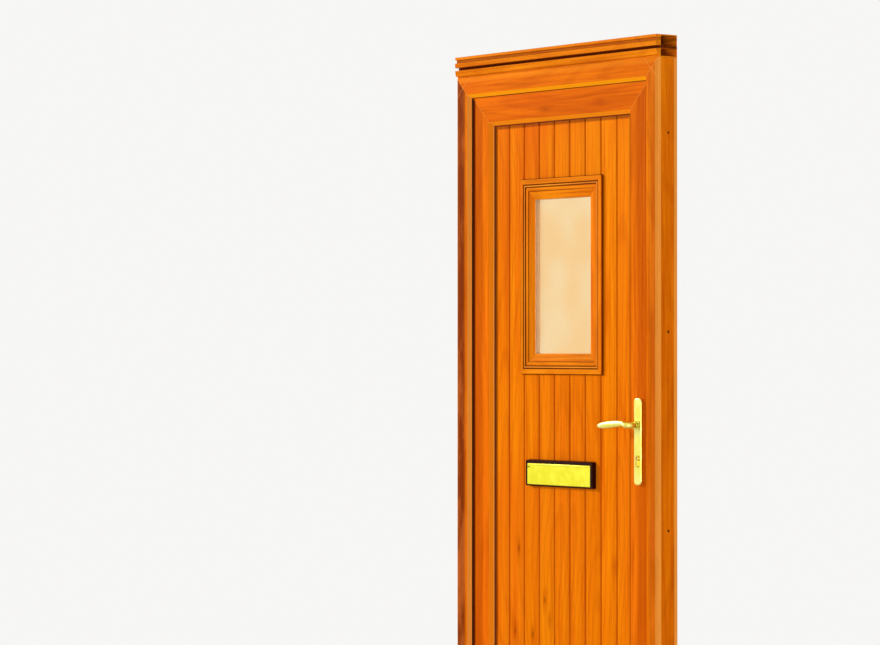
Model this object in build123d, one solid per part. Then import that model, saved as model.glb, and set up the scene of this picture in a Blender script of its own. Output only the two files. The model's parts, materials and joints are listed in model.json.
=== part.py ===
from build123d import *
import os

# Panelled front door leaf in its outer frame, with all its hardware.
# Millimetres. X runs to the right seen from outside, Y runs into the house, Z is up.
# The origin is under the threshold, at the middle of the frame's width and depth.
# Sections are drawn as (u, d): u is the distance inward from the frame's outer edge,
# d is the distance behind the frame's outer face.

# Outer frame
frame_width = 920.0
frame_height = 2058.0
frame_depth = 70.0
frame_box = 40.0
frame_lip = 20.0
lip_depth = 12.0
lip_bevel = 10.0
outer_bevel = 15.0
outer_bevel_depth = 3.0
wall = 3.0
frame_front_cell = 8.0
frame_back_cell = 5.0
steel_wall = 2.0
steel_gap = 2.0
edge_flat = 1.0

# Threshold
threshold_height = 14.0
threshold_upstand_bevel = 4.0
threshold_bevel_height = 8.0
threshold_nose = 6.0
threshold_fall = 4.0
leaf_clearance = 6.0

# Head extensions: heights of their steps, and how far they stand out or go back
lower_extension_height = 27.0
upper_extension_height = 36.0
extension_projection = 6.0
lower_recess = 4.0
lower_recess_height = 6.0
ledge_bevel = 3.0
ledge_fall = 4.0
ledge_top = 1.0
upper_recess = 8.0
upper_recess_height = 5.0
cove_height = 18.0
trim_height = 8.0
extension_cell_front = 11.0

# Leaf frame, with its outer face behind the frame's outer face
seal_thickness = 4.0
seal_bulge = 1.0
sash_gap = 12.0
sash_depth = 70.0
sash_body = 77.0
sash_edge_wall = 8.0
sash_flange = 20.0
flange_bevel = 4.0
sash_cell = 9.0
inner_seal = 3.0
inner_seal_inset = 2.0
glazing_leg = 18.0
glazing_leg_depth = 13.0
sash_bevel = 11.0
glazing_gasket = 3.0
gasket_inset = 2.0
bead_nose = 4.0
bead_slope = 7.0
packer_thickness = 6.0
packer_length = 80.0
packer_inset = 150.0
packer_edge = 3.0
bottom_blade = 8.0

# Infill panel
panel_thickness = 28.0
groove_count = 8
groove_pitch = 70.0
groove_width = 7.0
groove_depth = 3.5

# Glazed window in the panel: the moulding's bands run inward from its outer edge
moulding_width = 370.0
moulding_height = 565.0
moulding_drop = 313.0
moulding_ring = 59.0
moulding_rise = 8.0
outer_band = 15.0
quirk = 2.5
bead_band = 4.0
bead_quirk = 2.5
step_band = 11.0
quirk_depth = 3.0
moulding_round = 1.0
glass_inset = 4.0
pane_thickness = 4.0
glass_overlap = 23.0
glass_clearance = 3.0
spacer_width = 8.0
spacer_inset = 2.0

# Letterplate, below the window
letterplate_gap = 250.0
slot_width = 262.0
slot_height = 42.0
slot_drop = 16.0
flap_cover = 12.0
flap_cover_low = 4.5
plate_border = 9.0
plate_border_top = 8.0
plate_border_low = 3.5
plate_rise = 14.0
plate_corner = 3.0
plate_bevel = 1.5
flap_thickness = 3.0
flap_round = 1.5
flap_barrel_radius = 4.0
flap_pin_radius = 1.5
flap_pin_reach = 3.5
sleeve_wall = 4.0
letter_bolt_radius = 2.5
letter_bolt_head = 4.0
letter_bolt_depth = 6.0
letter_bolt_gap = 3.5

# Lock
lever_z = 1040.0
backset = 45.0
cylinder_drop = 92.0
lock_depth_centre = 45.0
case_thickness = 16.0
case_depth = 58.0
case_wall = 1.5
case_above_latch = 11.0
case_below_cylinder = 55.0
faceplate_thickness = 3.0
faceplate_width = 20.0
faceplate_low = 280.0
faceplate_drop = 278.0
rail_thickness = 2.5
rail_width = 16.0
rail_travel = 20.0
rail_end = 10.0
rail_gap = 0.5
rail_window = 0.6
bolt_thickness = 12.0
latch_height = 20.0
latch_rise = 35.0
latch_length = 40.0
latch_throw = 16.0
latch_shoulder = 5.0
latch_nose = 2.0
deadbolt_height = 30.0
deadbolt_drop = 46.0
deadbolt_length = 43.0
deadbolt_bevel = 0.8
hook_inset_low = 140.0
hook_inset_high = 160.0
hook_length = 40.0
hook_radius = 8.0
hook_thickness = 7.0
hook_notch_radius = 6.0
hook_pivot_gap = 18.0
hook_pin_radius = 4.0
hook_washer_radius = 6.0
hook_case_below = 20.0
hook_case_height = 100.0
hook_case_depth = 34.0

# Keeps on the jamb
keep_thickness = 4.0
keep_width = 24.0
keep_margin = 20.0
keep_corner = 3.0
keep_screw_inset = 8.0
keep_screw_radius = 2.0
keep_screw_head = 4.0
keep_screw_length = 17.0

# Handles and cylinder
backplate_width = 32.0
backplate_length = 243.0
backplate_thickness = 9.0
backplate_drop = 45.5
backplate_corner = 12.0
backplate_round = 3.5
collar_wall = 4.0
collar_rise = 4.0
handle_bolt_spacing = 215.0
handle_bolt_radius = 2.5
handle_bolt_head = 4.5
bolt_head_height = 2.5
bolt_sink = 0.5
lever_reach = 127.0
lever_standoff = 45.0
lever_thickness = 12.0
lever_root = 8.0
lever_droop = 14.0
lever_round = 4.5
neck_radius = 10.0
neck_seat = 3.0
spindle_size = 8.0
spindle_grip = 12.0
hub_radius = 13.0
hub_neck_radius = 9.0
cylinder_radius = 8.5
cylinder_web = 10.0
cylinder_height = 33.0
cylinder_projection = 3.0
plug_radius = 6.5
cam_gap = 10.0
cam_reach = 15.0
cam_width = 6.0
key_slot_width = 2.4
key_slot_height = 9.0
key_slot_depth = 12.0

# Hinges
hinge_low = 250.0
hinge_drop = 208.0
hinge_height = 90.0
hinge_gap = 1.5
hinge_web = 4.5
knuckle_radius = 8.0
hinge_pin_radius = 4.0
hinge_pin_head = 3.0
hinge_axis_u = 25.0
hinge_leaf_width = 28.0
hinge_leaf_margin = 4.0
hinge_leaf_thickness = 4.0
hinge_corner = 3.0

# Fixings through the jambs
fixing_low = 200.0
fixing_drop = 208.0
fixing_count = 4
fixing_radius = 4.0

# Clearances
running = 0.3
pin_clearance = 0.05
hole_clearance = 0.1
machining_clearance = 1.0
keep_clearance = 1.0
cut_past = 1.0

# Places worked out from the sizes above
half_width = frame_width / 2
lip_u = frame_box + frame_lip
sash_u = frame_box + sash_gap
rebate_u = sash_u + sash_body
leg_u = rebate_u + glazing_leg
panel_u = rebate_u + packer_thickness
flange_u = sash_u - sash_flange
sash_d = lip_depth + seal_thickness
sash_back_d = sash_d + sash_depth
leg_d = sash_d + glazing_leg_depth
panel_d = leg_d + glazing_gasket
panel_back_d = panel_d + panel_thickness
panel_mid_d = panel_d + panel_thickness / 2
sash_mid_d = sash_d + sash_depth / 2
leaf_bottom = threshold_height + leaf_clearance
leaf_low = leaf_bottom - sash_u
panel_low = leaf_low + panel_u
panel_high = frame_height - panel_u
chamber_u = sash_u + sash_edge_wall
chamber_end_u = rebate_u - wall
chamber_d = sash_d + sash_cell + 2 * wall
chamber_back_d = sash_back_d - sash_cell - 2 * wall
frame_chamber_d = outer_bevel_depth + frame_front_cell + 2 * wall
frame_chamber_back_d = frame_depth - frame_back_cell - 2 * wall
far = 2 * (frame_height + frame_width)

moulding_low = frame_height - moulding_drop - moulding_height
moulding_centre_z = moulding_low + moulding_height / 2
glass_width = moulding_width - 2 * (moulding_ring - glass_overlap)
glass_height = moulding_height - 2 * (moulding_ring - glass_overlap)
glass_d = panel_d + glass_inset

flap_width = slot_width + 2 * flap_cover
flap_height = slot_drop + slot_height + flap_cover_low
plate_width = flap_width + 2 * plate_border
plate_height = plate_border_top + flap_height + plate_border_low
plate_top = moulding_low - letterplate_gap
plate_d = panel_d - plate_rise
flap_top = plate_top - plate_border_top
slot_centre = flap_top - slot_drop - slot_height / 2
flap_pin_d = plate_d + flap_barrel_radius
flap_pin_z = flap_top - flap_barrel_radius
flap_seat_d = plate_d + flap_thickness + running
letter_bolt_x = slot_width / 2 + sleeve_wall + letter_bolt_gap

spindle_x = half_width - sash_u - backset
cylinder_z = lever_z - cylinder_drop
latch_z = lever_z + latch_rise
deadbolt_z = lever_z - deadbolt_drop
case_u = sash_u + faceplate_thickness + rail_thickness + rail_gap
faceplate_high = frame_height - faceplate_drop
hook_centres = (faceplate_low + hook_inset_low, faceplate_high - hook_inset_high)
hook_pivot_u = sash_u + hook_pivot_gap
hub_d = (lock_depth_centre - case_thickness / 2, lock_depth_centre + case_thickness / 2)
bolt_d = (lock_depth_centre - bolt_thickness / 2, lock_depth_centre + bolt_thickness / 2)
backplate_d = sash_d - backplate_thickness
backplate_z = lever_z - backplate_drop
handle_bolt_places = (backplate_z - handle_bolt_spacing / 2, backplate_z + handle_bolt_spacing / 2)
grip_d = sash_d - lever_standoff

hinge_x = -half_width + hinge_axis_u
hinge_d = sash_back_d + knuckle_radius + hinge_gap
hinge_high = frame_height - hinge_drop
hinge_centres = (hinge_low, (hinge_low + hinge_high) / 2, hinge_high)
fixing_pitch = (frame_height - fixing_drop - fixing_low) / (fixing_count - 1)


def y_at(d):
    """Y of a place d behind the frame's outer face."""
    return d - frame_depth / 2


def u_x(u, sign=1):
    """X of a place u inward from the frame's edge, on the right side or the left."""
    return sign * (half_width - u)


def prism(points, axis, start, end, holes=()):
    """A straight bar of one section; points are the two other coordinates in X, Y, Z order."""
    section = Polygon(*points)
    for hole in holes:
        section -= Polygon(*hole)
    planes = {"X": Plane.YZ.offset(start), "Y": Plane.XZ.offset(-start), "Z": Plane.XY.offset(start)}
    directions = {"X": (1, 0, 0), "Y": (0, 1, 0), "Z": (0, 0, 1)}
    return extrude(planes[axis] * section, amount=end - start, dir=directions[axis])


def block(x0, x1, y0, y1, z0, z1):
    """A box between two corners."""
    return Pos((x0 + x1) / 2, (y0 + y1) / 2, (z0 + z1) / 2) * Box(abs(x1 - x0), abs(y1 - y0), abs(z1 - z0))


def rod(radius, d0, d1, x, z):
    """A round bar along Y."""
    return Pos(x, y_at((d0 + d1) / 2), z) * Rot(90, 0, 0) * Cylinder(radius, abs(d1 - d0))


def rod_x(radius, x0, x1, d, z):
    """A round bar along X."""
    return Pos((x0 + x1) / 2, y_at(d), z) * Rot(0, 90, 0) * Cylinder(radius, abs(x1 - x0))


def headed_bolt(radius, head, start, end, x, z):
    """Bolt along the depth whose head lies just under the face at the end depth."""
    top = end - bolt_sink
    return rod(radius, start, top, x, z) + rod(head, top - bolt_head_height, top, x, z)


def bolt_hole(radius, head, start, end, x, z):
    """Hole for that bolt, wider where its head sits."""
    seat = end - bolt_sink - bolt_head_height
    hole = rod(radius + hole_clearance, start, end, x, z)
    return hole + rod(head + hole_clearance, seat, end + cut_past, x, z)


def rectangle(u0, u1, d0, d1):
    """Corners of a rectangle in a section."""
    return [(u0, d0), (u1, d0), (u1, d1), (u0, d1)]


def mitred(section, side, low, holes=(), square_low=None, width=None, top=None, reach=leg_u + frame_lip):
    """One length of a mitred frame, from a section drawn inward from the outer edge."""
    half = half_width if width is None else width / 2
    high = frame_height if top is None else top
    bottom = low if square_low is None else square_low
    step = 0 if square_low is not None else reach
    if side in ("left", "right"):
        sign = -1 if side == "left" else 1
        placed = [[(sign * (half - u), y_at(d)) for u, d in part] for part in (section, *holes)]
        bar = prism(placed[0], "Z", bottom, high, placed[1:])
        ends = [(0, bottom), (reach, bottom + step), (reach, high - reach), (0, high)]
        cut = prism([(sign * (half - u), z) for u, z in ends], "Y", -far, far)
    else:
        edge, sign = (high, -1) if side == "top" else (low, 1)
        placed = [[(y_at(d), edge + sign * u) for u, d in part] for part in (section, *holes)]
        bar = prism(placed[0], "X", -half, half, placed[1:])
        ends = [(-half, 0), (half, 0), (half - reach, reach), (reach - half, reach)]
        cut = prism([(x, edge + sign * u) for x, u in ends], "Y", -far, far)
    return bar & cut


all_sides = ("left", "top", "right", "bottom")


def ring(section, low, width=None, top=None, reach=leg_u + frame_lip, sides=all_sides):
    """A frame moulded in one piece, joined from its mitred sides."""
    parts = [mitred(section, side, low, width=width, top=top, reach=reach) for side in sides]
    whole = parts[0]
    for part in parts[1:]:
        whole += part
    return whole


def inside(shape, d_mirror):
    """The same shape on the other face of the leaf."""
    return mirror(shape, about=Plane.XZ.offset(-y_at(d_mirror)))


# Outer frame


def frame_section():
    flat_end = lip_u - lip_bevel
    outline = [(0, outer_bevel_depth), (outer_bevel, 0), (flat_end, 0), (lip_u, lip_depth - edge_flat)]
    outline += [(lip_u, lip_depth), (frame_box, lip_depth), (frame_box, frame_depth), (0, frame_depth)]
    return outline


def frame_chambers():
    u0, u1 = wall, frame_box - wall
    front = rectangle(u0, u1, wall + outer_bevel_depth, frame_chamber_d - wall)
    main = rectangle(u0, u1, frame_chamber_d, frame_chamber_back_d)
    back = rectangle(u0, u1, frame_chamber_back_d + wall, frame_depth - wall)
    return [front, main, back]


def fixing_holes(sign):
    """Holes through a jamb for the screws that hold the frame to the wall."""
    d = (frame_chamber_d + frame_chamber_back_d) / 2
    holes = Part()
    for index in range(fixing_count):
        z = fixing_low + index * fixing_pitch
        holes += rod_x(fixing_radius, u_x(-cut_past, sign), u_x(frame_box + cut_past, sign), d, z)
    return holes


def frame_length(side):
    chambers = frame_chambers()
    if side == "top":
        return mitred(frame_section(), side, 0, chambers)
    return mitred(frame_section(), side, 0, chambers, square_low=0)


def bolt_pockets(start_u, end_u, grow):
    """The spaces that the latch, the deadbolt and the hooks pass through."""
    x0, x1 = u_x(start_u), u_x(end_u)
    half = bolt_thickness / 2 + grow
    y0, y1 = y_at(lock_depth_centre - half), y_at(lock_depth_centre + half)
    pockets = block(x0, x1, y0, y1, latch_z - latch_height / 2 - grow, latch_z + latch_height / 2 + grow)
    half_height = deadbolt_height / 2 + grow
    pockets += block(x0, x1, y0, y1, deadbolt_z - half_height, deadbolt_z + half_height)
    half = hook_thickness / 2 + grow
    y0, y1 = y_at(lock_depth_centre - half), y_at(lock_depth_centre + half)
    for z in hook_centres:
        top = z + hook_length + hook_radius / 2 + grow
        pockets += block(x0, x1, y0, y1, z - hook_radius - grow - machining_clearance, top)
    return pockets


def frame_steel():
    """Steel channels inside the two jambs and the head."""
    u0, u1, t = wall, frame_box - wall - steel_gap, steel_wall
    d0, d1 = frame_chamber_d, frame_chamber_back_d
    channel = [(u0, d0), (u1, d0), (u1, d0 + t), (u0 + t, d0 + t)]
    channel += [(u0 + t, d1 - t), (u1, d1 - t), (u1, d1), (u0, d1)]
    lengths = []
    for sign in (-1, 1):
        placed = [(u_x(u, sign), y_at(d)) for u, d in channel]
        lengths.append(prism(placed, "Z", leaf_bottom, frame_height - lip_u) - fixing_holes(sign))
    placed = [(y_at(d), frame_height - u) for u, d in channel]
    lengths.append(prism(placed, "X", -half_width + lip_u, half_width - lip_u))
    return Compound(children=[length.solid() for length in lengths])


def threshold():
    """Low aluminium threshold between the jambs, with an upstand that the leaf shuts against."""
    lip_top = leaf_low + lip_u
    inner_edge = threshold_height - threshold_fall
    section = [(0, 0), (0, lip_top - threshold_bevel_height), (threshold_upstand_bevel, lip_top)]
    section += [(lip_depth, lip_top), (lip_depth, threshold_height)]
    section += [(frame_depth - threshold_nose, threshold_height), (frame_depth, inner_edge), (frame_depth, 0)]
    hollow_end = frame_depth - wall - threshold_nose
    hollow = rectangle(wall, hollow_end, wall, threshold_height - wall)
    base = [(lip_depth, 0), *section[4:]]
    base_hollow = rectangle(lip_depth + wall, hollow_end, wall, threshold_height - wall)

    def placed(points):
        return [(y_at(d), z) for d, z in points]

    middle = prism(placed(section), "X", u_x(lip_u, -1), u_x(lip_u), [placed(hollow)])
    wide = prism(placed(base), "X", u_x(frame_box, -1), u_x(frame_box), [placed(base_hollow)])
    centre = block(u_x(lip_u, -1), u_x(lip_u), y_at(-cut_past), y_at(frame_depth + cut_past), -cut_past,
                   threshold_height + cut_past)
    return middle + (wide - centre)


def lower_extension():
    """Stepped length above the frame head."""
    h = lower_extension_height
    p = extension_projection
    section = [(lower_recess, 0), (lower_recess, lower_recess_height)]
    section += [(ledge_bevel - p, lower_recess_height), (-p, h - ledge_fall)]
    section += [(upper_recess, h - ledge_fall + ledge_top), (upper_recess, h)]
    section += [(frame_depth, h), (frame_depth, 0)]
    hollow = rectangle(extension_cell_front, frame_depth - wall, wall, h - wall)
    return extension(section, hollow, frame_height)


def upper_extension():
    """Top length of the head, with a cove and a flat trim along its edge."""
    h = upper_extension_height
    p = extension_projection
    section = [(upper_recess, 0), (upper_recess, upper_recess_height), (-p, upper_recess_height)]
    section += [(-p - ledge_top, cove_height), (0, cove_height + ledge_top), (0, h - trim_height)]
    section += [(-p, h - trim_height), (-p, h), (frame_depth, h), (frame_depth, 0)]
    hollow = rectangle(extension_cell_front, frame_depth - wall, wall, h - wall)
    return extension(section, hollow, frame_height + lower_extension_height)


def extension(section, hollow, base):
    def placed(points):
        return [(y_at(d), base + z) for d, z in points]

    return prism(placed(section), "X", -half_width, half_width, [placed(hollow)])


def frame_gasket():
    """Black seal on the lip, which the leaf shuts against."""
    back = lip_depth + seal_thickness
    bulge_d = lip_depth + seal_thickness / 2
    section = [(sash_u, lip_depth), (lip_u, lip_depth), (lip_u + seal_bulge, bulge_d)]
    section += [(lip_u, back), (sash_u, back)]
    return ring(section, leaf_low)


def keep_plate(z0, z1):
    """A steel keep on the jamb, with windows for the bolts."""
    half = keep_width / 2
    plate = block(u_x(frame_box), u_x(frame_box + keep_thickness), y_at(lock_depth_centre - half),
                  y_at(lock_depth_centre + half), z0, z1)
    plate = fillet(plate.edges().filter_by(Axis.X), keep_corner)
    front_u = frame_box + keep_thickness + cut_past
    plate -= bolt_pockets(frame_box - cut_past, front_u, keep_clearance)
    hole = keep_screw_radius + hole_clearance
    head = keep_screw_head + hole_clearance
    for z in keep_screw_places(z0, z1):
        plate -= rod_x(hole, u_x(frame_box - cut_past), u_x(front_u), lock_depth_centre, z)
        plate -= rod_x(head, u_x(frame_box + keep_thickness / 2), u_x(front_u), lock_depth_centre, z)
    return plate


def keep_screw_places(z0, z1):
    return (z0 + keep_screw_inset, z1 - keep_screw_inset)


def keep_spans():
    """Heights of the keep for latch and deadbolt, and of the two for the hooks."""
    low, high = deadbolt_z - deadbolt_height / 2, latch_z + latch_height / 2
    hooks = [(z - hook_radius - keep_margin, z + hook_length + keep_margin) for z in hook_centres]
    return [(low - keep_margin, high + keep_margin)] + hooks


def keep_screws():
    screws = []
    seat_u, top_u = frame_box + keep_thickness / 2, frame_box + keep_thickness - bolt_sink
    tip_u = top_u - keep_screw_length
    for z0, z1 in keep_spans():
        for z in keep_screw_places(z0, z1):
            screw = rod_x(keep_screw_radius, u_x(tip_u), u_x(top_u), lock_depth_centre, z)
            screw += rod_x(keep_screw_head, u_x(seat_u), u_x(top_u), lock_depth_centre, z)
            screws.append(screw.solid())
    return Compound(children=screws)


def lock_jamb():
    start_u, end_u = frame_box - wall - cut_past, frame_box + cut_past
    jamb = frame_length("right") - fixing_holes(1) - bolt_pockets(start_u, end_u, keep_clearance)
    hole = keep_screw_radius + hole_clearance
    for z0, z1 in keep_spans():
        for z in keep_screw_places(z0, z1):
            jamb -= rod_x(hole, u_x(start_u), u_x(end_u), lock_depth_centre, z)
    return jamb


# Hinges


def knuckle(z0, z1):
    barrel = Pos(hinge_x, y_at(hinge_d), (z0 + z1) / 2) * Cylinder(knuckle_radius, z1 - z0)
    reach = z1 - z0 + 2 * cut_past
    bore = Pos(hinge_x, y_at(hinge_d), (z0 + z1) / 2) * Cylinder(hinge_pin_radius + pin_clearance, reach)
    return barrel, bore


def hinge_frame_leaf(z):
    """The half of a hinge that is screwed to the frame, with the lower knuckle."""
    low = z - hinge_height / 2
    end_u = hinge_axis_u + hinge_leaf_margin
    plate = block(u_x(end_u - hinge_leaf_width, -1), u_x(end_u, -1), y_at(frame_depth),
                  y_at(frame_depth + hinge_leaf_thickness), low, z + hinge_height / 2)
    plate = fillet(plate.edges().filter_by(Axis.Y), hinge_corner)
    web_d = frame_depth + hinge_leaf_thickness / 2
    web = block(u_x(hinge_axis_u - knuckle_radius, -1), u_x(end_u, -1), y_at(web_d), y_at(hinge_d), low,
                z - running)
    barrel, bore = knuckle(low, z - running)
    return plate + web + barrel - bore


def hinge_sash_leaf(z):
    """The half of a hinge that is screwed to the leaf, with the upper knuckle."""
    high = z + hinge_height / 2
    start_u = flange_u + flange_bevel + edge_flat
    plate = block(u_x(start_u, -1), u_x(start_u + hinge_leaf_width, -1), y_at(sash_back_d),
                  y_at(sash_back_d + hinge_leaf_thickness), z - hinge_height / 2, high)
    plate = fillet(plate.edges().filter_by(Axis.Y), hinge_corner)
    web_d = sash_back_d + hinge_gap
    web = block(hinge_x, u_x(start_u + hinge_corner, -1), y_at(web_d), y_at(web_d + hinge_web), z + running,
                high)
    barrel, bore = knuckle(z + running, high)
    return plate + web + barrel - bore


def hinge_pins():
    pins = []
    for z in hinge_centres:
        low, high = z - hinge_height / 2, z + hinge_height / 2
        shank = Pos(hinge_x, y_at(hinge_d), (low + high) / 2) * Cylinder(hinge_pin_radius, high - low)
        head = Cylinder(knuckle_radius - edge_flat, hinge_pin_head)
        head = Pos(hinge_x, y_at(hinge_d), low - hinge_pin_head / 2) * head
        pins.append((shank + head).solid())
    return Compound(children=pins)


# Leaf frame


def sash_section(flange):
    flat_end = leg_u - sash_bevel
    outline = [(sash_u, sash_d), (flat_end, sash_d), (leg_u, leg_d - edge_flat), (leg_u, leg_d)]
    outline += [(rebate_u, leg_d), (rebate_u, sash_back_d)]
    if not flange:
        return outline + [(sash_u, sash_back_d)]
    inner = frame_depth + inner_seal
    outline += [(flange_u + flange_bevel, sash_back_d), (flange_u, sash_back_d - flange_bevel)]
    return outline + [(flange_u, inner), (sash_u, inner)]


def sash_chambers():
    front = rectangle(chamber_u, chamber_end_u, sash_d + wall, chamber_d - wall)
    main = rectangle(chamber_u, chamber_end_u, chamber_d, chamber_back_d)
    back = rectangle(chamber_u, chamber_end_u, chamber_back_d + wall, sash_back_d - wall)
    return [front, main, back]


def sash_length(side):
    bar = mitred(sash_section(side != "bottom"), side, leaf_low, sash_chambers())
    return bar - below_leaf()


def below_leaf():
    """The space under the leaf, where its mitred lengths are cut square."""
    return block(-far, far, -far, far, leaf_low - cut_past, leaf_bottom)


def euro_profile(d0, d1, grow):
    """A bar with the outline of a profile cylinder."""
    barrel = rod(cylinder_radius + grow, d0, d1, spindle_x, cylinder_z)
    foot_z = cylinder_z + cylinder_radius - cylinder_height + cylinder_web / 2
    half = cylinder_web / 2 + grow
    web = block(spindle_x - half, spindle_x + half, y_at(d0), y_at(d1), foot_z, cylinder_z)
    return barrel + web + rod(half, d0, d1, spindle_x, foot_z)


def handle_holes(d0, d1):
    """Holes for the spindle, the cylinder and the handle bolts."""
    holes = rod(neck_radius + machining_clearance, d0, d1, spindle_x, lever_z)
    holes += euro_profile(d0, d1, machining_clearance)
    for z in handle_bolt_places:
        holes += rod(handle_bolt_radius + machining_clearance / 2, d0, d1, spindle_x, z)
    return holes


def lock_stile():
    """The stile on the lock side, machined for the lock and the handles."""
    stile = sash_length("right")
    seat_d = lock_depth_centre - faceplate_width / 2
    stile -= block(u_x(sash_u - cut_past), u_x(sash_u + faceplate_thickness), y_at(seat_d),
                   y_at(seat_d + faceplate_width), faceplate_low, faceplate_high)
    slot_d = lock_depth_centre - rail_width / 2 - running
    stile -= block(u_x(sash_u), u_x(case_u), y_at(slot_d), y_at(slot_d + rail_width + 2 * running),
                   faceplate_low + machining_clearance, faceplate_high - machining_clearance)
    y0, y1 = y_at(hub_d[0]), y_at(hub_d[1])
    for z0, z1 in case_spans():
        stile -= block(u_x(case_u - cut_past), u_x(chamber_u + cut_past), y0, y1, z0, z1)
    return stile - handle_holes(sash_d - cut_past, sash_back_d + cut_past)


def sash_steel():
    """Steel channels inside the four lengths of the leaf frame."""
    u0, u1 = chamber_u + machining_clearance, chamber_end_u
    d0, d1, t = chamber_d, chamber_back_d, steel_wall
    channel = [(u0, d0), (u1, d0), (u1, d1), (u0, d1)]
    channel += [(u0, d1 - t), (u1 - t, d1 - t), (u1 - t, d0 + t), (u0, d0 + t)]
    low, high = leaf_low + rebate_u, frame_height - rebate_u
    lengths = []
    for sign in (-1, 1):
        placed = [(u_x(u, sign), y_at(d)) for u, d in channel]
        length = prism(placed, "Z", low, high)
        if sign == 1:
            length -= handle_holes(sash_d, sash_back_d)
        lengths.append(length)
    for edge, sign in ((frame_height, -1), (leaf_low, 1)):
        placed = [(y_at(d), edge + sign * u) for u, d in channel]
        lengths.append(prism(placed, "X", u_x(rebate_u, -1), u_x(rebate_u)))
    return Compound(children=[length.solid() for length in lengths])


def sash_gasket():
    """Seal on the leaf's inner flange, on three sides."""
    start_u, end_u = flange_u + inner_seal_inset, frame_box - edge_flat
    section = rectangle(start_u, end_u, frame_depth, frame_depth + inner_seal)
    sides = ring(section, leaf_low, sides=("left", "top", "right"))
    return sides - below_leaf()


def bottom_seal():
    """Blade under the leaf, just clear of the threshold."""
    d0 = sash_mid_d - bottom_blade / 2
    return block(u_x(sash_u, -1), u_x(sash_u), y_at(d0), y_at(d0 + bottom_blade), threshold_height + running,
                 leaf_bottom)


def bead_section():
    d0 = panel_back_d + glazing_gasket
    outline = [(rebate_u, d0), (leg_u, d0), (leg_u, d0 + bead_nose), (leg_u - bead_slope, sash_back_d)]
    return outline + [(rebate_u, sash_back_d)]


def panel_gaskets():
    start_u = panel_u + gasket_inset
    outer = [(start_u, leg_d), (leg_u, leg_d), (leg_u + glazing_gasket, panel_d), (start_u, panel_d)]
    first = ring(outer, leaf_low)
    return Compound(children=[first.solid(), inside(first, panel_mid_d).solid()])


def glazing_packers():
    """Plastic packers that centre the panel in its rebate."""
    packers = []
    half = packer_length / 2
    y0, y1 = y_at(panel_d + packer_edge), y_at(panel_back_d - packer_edge)
    side_x = u_x(panel_u) - packer_inset
    for x in (-side_x, side_x):
        for end, step in ((panel_low, -packer_thickness), (panel_high, packer_thickness)):
            packers.append(block(x - half, x + half, y0, y1, end, end + step).solid())
    for z in (panel_low + packer_inset, panel_high - packer_inset):
        for sign in (-1, 1):
            x0, x1 = u_x(rebate_u, sign), u_x(panel_u, sign)
            packers.append(block(x0, x1, y0, y1, z - half, z + half).solid())
    return Compound(children=packers)


# Panel and window


def infill_panel():
    """The flat panel with V grooves on both faces, its window and its letter slot."""
    panel = block(u_x(panel_u, -1), u_x(panel_u), y_at(panel_d), y_at(panel_back_d), panel_low, panel_high)
    front, back = y_at(panel_d), y_at(panel_back_d)
    half = groove_width / 2
    for index in range(groove_count):
        x = (index - (groove_count - 1) / 2) * groove_pitch
        for face, depth in ((front, groove_depth), (back, -groove_depth)):
            groove = [(x - half, face), (x + half, face), (x, face + depth)]
            panel -= prism(groove, "Z", panel_low, panel_high)
    w, h = glass_width / 2 + glass_clearance, glass_height / 2 + glass_clearance
    panel -= block(-w, w, front - cut_past, back + cut_past, moulding_centre_z - h, moulding_centre_z + h)
    w, h = slot_width / 2 + sleeve_wall, slot_height / 2 + sleeve_wall
    panel -= block(-w, w, front - cut_past, back + cut_past, slot_centre - h, slot_centre + h)
    for x in (-letter_bolt_x, letter_bolt_x):
        hole = letter_bolt_radius + 2 * hole_clearance
        panel -= rod(hole, panel_d - cut_past, panel_back_d + cut_past, x, slot_centre)
    return panel


def moulding_section():
    """Stepped section, from the outer edge in: band, groove, bead, step, band, slope to the glass."""
    top, low, r = panel_d - moulding_rise, panel_d - quirk_depth, moulding_round
    face = [(0, panel_d), (0, top + r), (r, top)]
    face += [(outer_band - r, top), (outer_band, top + r), (outer_band, low)]
    u = outer_band + quirk
    face += [(u, low), (u, top + r), (u + bead_band, top + r), (u + bead_band, low)]
    u += bead_band + bead_quirk
    slope_d = low - quirk_depth / 2
    face += [(u, low), (u + r, low - quirk_depth + r)]
    face += [(u + step_band - r, slope_d), (u + step_band, low + r)]
    u += step_band + r
    face += [(u, low + r), (u + r, low), (moulding_ring, glass_d - edge_flat), (moulding_ring, glass_d)]
    seat = moulding_ring - glass_overlap + edge_flat
    return face + [(seat, glass_d), (seat, panel_d)]


def outer_moulding():
    high = moulding_low + moulding_height
    return ring(moulding_section(), moulding_low, moulding_width, high, reach=moulding_ring + cut_past)


def pane():
    w, h = glass_width / 2, glass_height / 2
    y0, y1 = y_at(glass_d), y_at(glass_d + pane_thickness)
    return block(-w, w, y0, y1, moulding_centre_z - h, moulding_centre_z + h)


def spacer_bar():
    """Bar round the edge between the two panes."""
    d0 = glass_d + pane_thickness
    section = rectangle(spacer_inset, spacer_inset + spacer_width, d0, 2 * panel_mid_d - d0)
    low = moulding_centre_z - glass_height / 2
    return ring(section, low, glass_width, low + glass_height, reach=2 * spacer_width)


# Letterplate


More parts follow.
